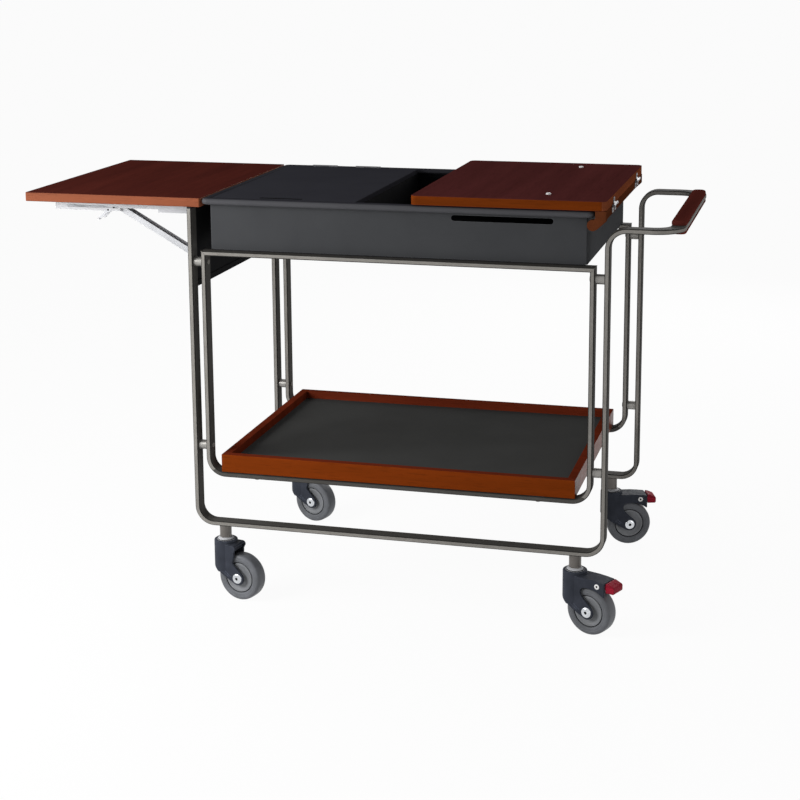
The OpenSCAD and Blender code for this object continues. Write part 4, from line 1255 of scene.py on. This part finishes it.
@dataclass
class Caster:
    """One swivel caster, in its own frame: X along the fork, Z up, the swivel line at the origin.

    Attributes:
        name: Its short name.
        x: Its place along the cart.
        y: Its place across the cart.
        swivel: The turn of its fork, in degrees.
        braked: Whether it has a brake pedal.
        trail: The distance from the swivel line to the axle.
        axle_z: The height of the axle.
        half_fork: Half the fork's outer width.
        half_inside: Half the fork's inner width.
        head_r: The radius of the fork's head.
        head_z: The lower and upper height of the fork's head.
        top_z: The height of the fender's top.
        fender: The fender's length past the swivel line.
        stub: A plain fork's length past the swivel line.
        boss_r: The radius of the fork's arms round the axle.
        tip_r: The radius of a plain fork's upper corner.
        ribs: The lines of the raised ribs on the fork's sides.
        slope: Where the head is cut off at the back, and the way the cut faces.
        rivet: The place of a braked fork's rivet from the axle.
        pedal_pin: The place of a braked fork's pedal pin.
    """

    name: str
    x: float
    y: float
    swivel: float
    braked: bool
    trail: float = 40.0
    axle_z: float = 50.0
    half_fork: float = 22.0
    half_inside: float = 18.0
    head_r: float = 25.0
    head_z: Point = (106.0, 128.0)
    top_z: float = 121.0
    fender: float = 80.0
    stub: float = 36.0
    boss_r: float = 15.0
    tip_r: float = 7.0
    ribs: tuple[tuple[Point, ...], ...] = (
        ((-8.5, 84.0), (2.0, 70.0), (18.0, 56.0), (24.0, 52.0)),
        ((-4.0, 68.0), (6.0, 59.5), (18.0, 51.5)),
    )
    slope: tuple[Corner, Corner] = ((-25.0, 0.0, 74.0), (-0.58, 0.0, -0.81))
    rivet: Point = (24.0, 60.0)
    pedal_pin: Point = (64.0, 110.0)

    @property
    def place(self) -> Matrix:
        """Where the caster stands in the cart's frame."""
        turn = Matrix.Rotation(math.radians(self.swivel), 4, "Z")
        return Matrix.Translation((self.x, self.y, 0.0)) @ turn

    @property
    def on_axle(self) -> Matrix:
        """Lays a shape that was turned about Z along the axle."""
        return Matrix.Translation((self.trail, 0.0, self.axle_z)) @ UPRIGHT

    def outline(self) -> list[Point]:
        """The fork's side, from the back of the head down to the axle and up to the fender."""
        top, end = self.top_z, self.fender
        boss = arc(self.trail, self.axle_z, self.boss_r, range(228, 391, 9))
        arm = [
            (-9.0, top), (-9.0, 63.0), (-4.0, 57.5), (8.0, 50.0), (20.0, 43.5), *boss,
            (48.5, 62.5), (42.0, 68.0), (35.0, 74.5), (28.5, 81.5),
        ]
        if self.braked:
            return arm + [
                (25.2, 87.0), (24.6, 92.0), (26.2, 96.4), (30.0, 99.4), (36.0, 100.9),
                (44.0, 101.2), (52.0, 100.4), (60.0, 98.6), (68.0, 95.4), (74.0, 92.0),
                (end - 1, 88.6), (end, 90.5), (end, top - 3.6), (end - 1.5, top - 2.9),
                (62.0, top - 1.1), (45.0, top),
            ]
        neck = [(29.0, 86.0), (31.0, 92.0), (32.0, 98.0), (32.0, 104.5), (33.6, 108.6)]
        round_tip = arc(self.stub - self.tip_r, top - self.tip_r, self.tip_r, range(-30, 91, 15))
        return arm + neck + round_tip

    def fork(self) -> BMesh:
        """Makes the moulded fork with its head and the steel ring round the stem."""
        half, inside, low, high = self.half_fork, self.half_inside, *self.head_z
        body = moved(slab(self.outline(), -half, half), UPRIGHT)
        eased(body, corner_edges(body, axis=1, at=half), width=1.8, steps=3)
        whole = Workshop.carved(body, self.head(), Carve.JOIN)
        ceiling = [(95.0, 112.8), (45.0, 117.5)] if self.braked else [(95.0, 117.5)]
        pocket = [(-9.0, 20.0), (95.0, 20.0), *ceiling, (27.0, 117.5), (27.0, low), (-9.0, low)]
        whole = Workshop.carved(whole, moved(slab(pocket, -inside, inside), UPRIGHT))
        bore = turned([(0.0, 30.0), (21.0, 30.0), (21.0, low), (0.0, low)], steps=56)
        parts = [painted(Workshop.carved(whole, bore), 0)]
        for line in self.ribs:
            lower = [(x, z - 0.7) for x, z in line]
            upper = [(x + 0.3, z + 0.7) for x, z in reversed(line)]
            for facing in (UPRIGHT, OTHER_SIDE @ UPRIGHT):
                rib = moved(slab(lower + upper, half - 0.8, half + 0.6, ease=0.3, steps=1), facing)
                bmesh.ops.recalc_face_normals(rib, faces=rib.faces[:])
                parts.append(painted(rib, 0))
        ring = [(17.6, high - 1.7), (18.4, high - 0.3), (19.0, high - 0.3), (19.1, high - 1.7)]
        parts.append(painted(turned(ring, steps=48, ring=True), 1))
        return joined(*parts)

    def head(self) -> BMesh:
        """Makes the fork's round head, cut off aslant at the back."""
        radius, high = self.head_r, self.head_z[1]
        head = turned([
            (0.0, 60.0), (radius, 60.0), (radius, high - 3.0), (radius - 0.6, high - 1.2),
            (radius - 2.0, high - 0.2), (radius - 3.6, high), (radius - 5.2, high - 0.4),
            (radius - 5.8, high - 1.6), (0.0, high - 1.6),
        ], steps=56)
        place, facing = self.slope
        bmesh.ops.bisect_plane(
            head, geom=head.verts[:] + head.edges[:] + head.faces[:], plane_co=place,
            plane_no=Vector(facing), clear_outer=True,
        )
        bmesh.ops.holes_fill(head, edges=[edge for edge in head.edges if edge.is_boundary])
        bmesh.ops.recalc_face_normals(head, faces=head.faces[:])
        return head

    def tyre(self) -> BMesh:
        """Makes the tyre with round shoulders and a fine groove round each side."""
        half = [
            (33.2, 13.2), (34.0, 14.4), (35.6, 15.2), (39.0, 15.9), (40.4, 16.0), (40.9, 15.7),
            (41.4, 16.0), (43.5, 15.9), (45.8, 15.3), (47.6, 14.2), (48.9, 12.6), (49.6, 10.4),
            (49.9, 7.0), (50.0, 3.0),
        ]
        return moved(turned(both_sides(half), steps=72, ring=True), self.on_axle)

    def hub(self) -> BMesh:
        """Makes the hub: a dished disc with a rim and a boss, and a dark ring in the groove round
        it as painted shade.
        """
        half = [
            (5.05, 17.7), (9.2, 17.7), (10.2, 16.8), (10.4, 13.0), (11.4, 11.6), (14.0, 11.0),
            (20.0, 11.4), (25.0, 12.4), (26.4, 13.4), (28.0, 13.9), (30.6, 13.9), (31.4, 13.2),
            (31.6, 11.4),
        ]
        disc = turned(both_sides(half), steps=64, ring=True)
        # A flat dark ring in the gap between the hub and the tyre: painted shade
        groove = turned(both_sides([(31.4, 11.8), (33.4, 11.8)]), steps=64, ring=True)
        return moved(joined(painted(disc, 0), painted(groove, 1)), self.on_axle)

    def bolt(self) -> BMesh:
        """Makes the axle bolt's heads with their sockets filled dark as painted shade, and a braked
        fork's rivets with dark cores as painted shade.
        """
        parts = []
        for side in (-1, 1):
            facing = self.on_axle if side < 0 else self.on_axle @ Matrix.Rotation(math.pi, 4, "X")
            head = turned([
                (2.9, 22.0), (2.9, 24.4), (3.3, 24.9), (5.0, 25.0), (6.8, 24.8), (7.1, 24.2),
                (7.5, 24.2), (7.8, 24.5), (9.2, 24.1), (10.4, 23.3), (11.0, 22.4), (11.0, 22.0),
            ], steps=40, ring=True)
            parts.append(painted(moved(head, facing), 0))
            # A dark hexagon in the bolt head's hole: painted shade of the socket
            socket = hexagon(radius=3.3, depth=1.0)
            parts.append(painted(moved(socket, facing @ Matrix.Translation((0.0, 0.0, 23.2))), 1))
            if self.braked:
                x, y = self.rivet
                place = facing @ Matrix.Translation((x, -side * y, 0.0))
                ring = turned([
                    (2.2, 21.6), (2.2, 22.6), (2.8, 23.0), (4.4, 23.0), (5.3, 22.7), (5.5, 22.2),
                    (5.5, 21.6),
                ], steps=32, ring=True)
                # A dark core in the rivet's hole: painted shade
                core = turned([(0.0, 21.6), (2.3, 21.6), (2.3, 22.4), (0.0, 22.4)], steps=24)
                parts += [painted(moved(ring, place), 2), painted(moved(core, place), 1)]
        parts.append(painted(moved(self.rod(radius=5.0, steps=32), self.on_axle), 0))
        if self.braked:
            x, z = self.pedal_pin
            place = Matrix.Translation((x, 0.0, z)) @ UPRIGHT
            parts.append(painted(moved(self.rod(radius=3.0, steps=24), place), 0))
        return joined(*parts)

    def rod(self, radius: float, steps: int) -> BMesh:
        """Makes a rod as long as the fork is wide."""
        half = self.half_fork
        return turned([(0.0, -half), (radius, -half), (radius, half), (0.0, half)], steps)

    def stem(self) -> BMesh:
        """Makes the steel stem with its nut and the seal on the fork's head, which takes the zinc
        finish.
        """
        steel = turned([
            (0.0, 103.7), (8.6, 103.7), (9.0, 104.1), (9.0, 105.3), (8.6, 105.7), (6.0, 105.7),
            (6.0, 134.0), (12.5, 134.0), (12.5, 159.0), (0.0, 159.0),
        ], steps=40)
        nut = hexagon(radius=13.4, depth=4.6)
        eased(nut, nut.edges[:], width=0.5, steps=1)
        moved(nut, Matrix.Translation((0.0, 0.0, 133.4)))
        seal = turned([
            (6.2, 128.3), (16.4, 128.3), (17.0, 128.8), (17.0, 129.6), (16.2, 130.6),
            (13.6, 131.6), (13.0, 132.4), (6.2, 132.4),
        ], steps=44, ring=True)
        return joined(painted(steel, 0), painted(nut, 0), painted(seal, 1))

    def pedal(self) -> BMesh:
        """Makes the brake pedal: an arm inside the fender and a ribbed pad past its end."""
        pad = [
            (81.3, 99.0), (99.2, 99.0), (101.0, 101.5), (101.0, 110.6), (99.6, 113.4),
            (85.2, 119.3), (82.6, 119.1), (81.3, 117.6),
        ]
        knob = arc(*self.pedal_pin, 5.0, range(90, 271, 15))
        arm = [*knob, (83.0, 105.0), (83.0, 113.0), (68.0, 113.0)]
        parts = [
            moved(slab(pad, -17.5, 17.5, ease=1.0, steps=3), UPRIGHT),
            moved(slab(arm, -17.4, 17.4, ease=0.6), UPRIGHT),
        ]
        tilt = Matrix.Rotation(math.radians(22.3), 4, "Y")
        for middle in (-13.2, -6.6, 0.0, 6.6, 13.2):
            rib = block((-6.4, middle - 1.0, -1.0), (6.4, middle + 1.0, 0.5), ease=0.45, steps=1)
            parts.append(moved(rib, Matrix.Translation((92.4, 0.0, 116.4)) @ tilt))
        for z in (103.4, 106.6, 109.8):
            band = rectangle(83.0, 99.4, -17.9, 17.9)
            parts.append(slab(band, z - 0.8, z + 0.8, corner=0.5, ease=0.4, steps=1))
        return joined(*parts)

    def build(self, shop: Workshop) -> None:
        """Builds the caster's moving pieces."""
        moulded = ["fork_plastic", "bracket_zinc"]
        chromes = ["bolt_chrome", "dark_core_painted_shade", "bumper_white"]
        pieces = [
            ("moulded_fork", self.fork, moulded, "caster", "fork_plastic", "fork"),
            ("axle_bolt", self.bolt, chromes, "caster", "axle_chrome", "axle"),
            ("rubber_tyre", self.tyre, ["tyre_rubber"], "wheel", "tyre_grey", "tyre"),
            ("wheel_hub", self.hub, ["hub_plastic", "dark_core_painted_shade"], "wheel", "hub_grey", "hub"),
        ]
        if self.braked:
            pieces.append(
                ("brake_pedal", self.pedal, ["pedal_plastic"], "pedal", "pedal_red", "pedal"))
        for label, make, finishes, body, slot, node in pieces:
            shop.piece(
                f"{label}_{self.name}", make(), finishes, f"{body}_{self.name}",
                [f"{node}_{self.name}"], self.place, 32.0 if node == "fork" else 40.0,
            )


@dataclass
class Casters:
    """The four casters and the stems that hold them.

    Attributes:
        x: Their distance from the cart's middle, along it.
        y: Their distance from the cart's middle, across it.
        swivels: Each caster's name, sides and turn, and whether it has a brake.
    """

    x: float = 376.0
    y: float = 260.0
    swivels: tuple[tuple[str, int, int, float, bool], ...] = (
        ("nl", -1, -1, -13.0, False),
        ("nr", 1, -1, -22.0, True),
        ("fr", 1, 1, 19.0, True),
        ("fl", -1, 1, -18.0, False),
    )

    def build(self, shop: Workshop) -> None:
        """Builds the four casters."""
        stems = []
        for name, side_x, side_y, swivel, braked in self.swivels:
            caster = Caster(name, side_x * self.x, side_y * self.y, swivel, braked)
            caster.build(shop)
            stems.append(moved(caster.stem(), caster.place))
        finishes = ["stem_steel", "bracket_zinc", "black_rubber"]
        whole = joined(*stems)
        shop.piece("stems_and_seals", whole, finishes, "frame", ["caster_stems"])


@dataclass(frozen=True)
class Lamp:
    """A soft square lamp.

    Attributes:
        name: Its name.
        place: Where it hangs, in metres.
        aim: The point it faces, in metres.
        size: Its width in metres.
        power: Its power in watts.
    """

    name: str
    place: Corner
    aim: Corner
    size: float
    power: float

    def build(self) -> None:
        """Hangs the lamp."""
        data = bpy.data.lights.new(self.name, "AREA")
        data.energy = self.power
        data.size = self.size
        made = bpy.data.objects.new(self.name, data)
        made.location = self.place
        facing = Vector(self.aim) - Vector(self.place)
        made.rotation_euler = facing.to_track_quat("-Z", "Y").to_euler()
        bpy.context.scene.collection.objects.link(made)


@dataclass
class Studio:
    """The floor, the light and the camera.

    Attributes:
        eye: The camera's place in metres.
        yaw: Its turn to the left, in degrees.
        pitch: Its tilt down, in degrees.
        roll: Its roll, in degrees.
        lens: Its focal length.
        sensor: The width of its sensor.
        rise: Its vertical shift.
        fill: The strength of the light from all round.
        glow: How much of the floor shows as plain white.
        floor_paint: The floor's colour.
        lamps: The lamps.
    """

    eye: Corner = (1.00835, -3.54329, 1.3910)
    yaw: float = 15.041
    pitch: float = 11.024
    roll: float = -0.385
    lens: float = 77.463
    sensor: float = 36.0
    rise: float = -0.1625
    fill: float = 0.31
    glow: float = 0.95
    floor_paint: tuple[float, float, float, float] = (0.9, 0.9, 0.9, 1.0)
    lamps: tuple[Lamp, ...] = (
        Lamp("key", (-1.4, -1.25, 1.1), (-0.1, -0.2, 0.6), 1.0, 35.0),
        Lamp("side", (2.5, -1.3, 0.6), (0.3, -0.2, 0.4), 1.2, 8.0),
        Lamp("back", (0.6, 3.0, 1.6), (0.1, 0.0, 0.5), 1.8, 24.0),
    )

    def camera(self) -> None:
        """Sets the camera up."""
        yaw, pitch, roll = (math.radians(turn) for turn in (self.yaw, self.pitch, self.roll))
        level = math.cos(pitch)
        ahead = Vector((-math.sin(yaw) * level, math.cos(yaw) * level, -math.sin(pitch)))
        right = Vector((math.cos(yaw), math.sin(yaw), 0.0))
        up = right.cross(ahead)
        side = right * math.cos(roll) + up * math.sin(roll)
        top = up * math.cos(roll) - right * math.sin(roll)
        data = bpy.data.cameras.new("camera")
        data.lens = self.lens
        data.sensor_width = self.sensor
        data.shift_y = self.rise
        data.dof.use_dof = False
        made = bpy.data.objects.new("camera", data)
        axes = Matrix((side, top, -ahead)).transposed().to_4x4()
        made.matrix_world = Matrix.Translation(self.eye) @ axes
        bpy.context.scene.collection.objects.link(made)
        bpy.context.scene.camera = made

    def world(self) -> None:
        """Makes the white surroundings, which light the cart less than they show."""
        graph = Graph(bpy.data.worlds.new("studio"))
        bpy.context.scene.world = graph.owner
        seen = graph.seen("Is Camera Ray", "Is Glossy Ray", "Is Transmission Ray")
        level = graph.spread(seen, (0.0, 1.0), (self.fill, 1.0))
        sky = graph.node("ShaderNodeBackground", {"Color": WHITE, "Strength": level})
        graph.node("ShaderNodeOutputWorld", {"Surface": sky.outputs[0]})

    def floor(self) -> None:
        """Lays the pale floor, which keeps a faint shadow."""
        part = bmesh.new()
        bmesh.ops.create_grid(part, x_segments=1, y_segments=1, size=100.0)
        mesh = bpy.data.meshes.new("floor")
        part.to_mesh(mesh)
        part.free()
        made = bpy.data.objects.new("floor", mesh)
        bpy.context.scene.collection.objects.link(made)
        graph = Graph(bpy.data.materials.new("floor_paint"))
        seen = graph.seen("Is Camera Ray", "Is Glossy Ray")
        share = graph.spread(seen, (0.0, 1.0), (0.0, self.glow))
        paint = graph.node("ShaderNodeBsdfDiffuse", {"Color": self.floor_paint}).outputs[0]
        glow = graph.node("ShaderNodeEmission", {"Color": WHITE, "Strength": 1.0}).outputs[0]
        mix = graph.node("ShaderNodeMixShader", {0: share, 1: paint, 2: glow}).outputs[0]
        graph.node("ShaderNodeOutputMaterial", {"Surface": mix})
        mesh.materials.append(graph.owner)

    def build(self) -> None:
        """Sets up the camera, the surroundings, the floor and the lamps."""
        bpy.context.scene.view_settings.view_transform = "Standard"
        self.camera()
        self.world()
        self.floor()
        for lamp in self.lamps:
            lamp.build()
        log.info("studio ready")


def main() -> None:
    """Builds the cart's sub-assemblies in order and sets up the studio."""
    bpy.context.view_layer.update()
    shop = Workshop()
    Studio().build()
    parts = (
        FlatTubes(), SideFrames(), PushHandle(), Tray(), Well(), Lid(), FlipBoard(), DropLeaf(),
        Casters(),
    )
    for part in parts:
        part.build(shop)
        log.info("built %s", type(part).__name__)
    log.info("%d pieces", shop.pieces)


if __name__ == "__main__":
    main()
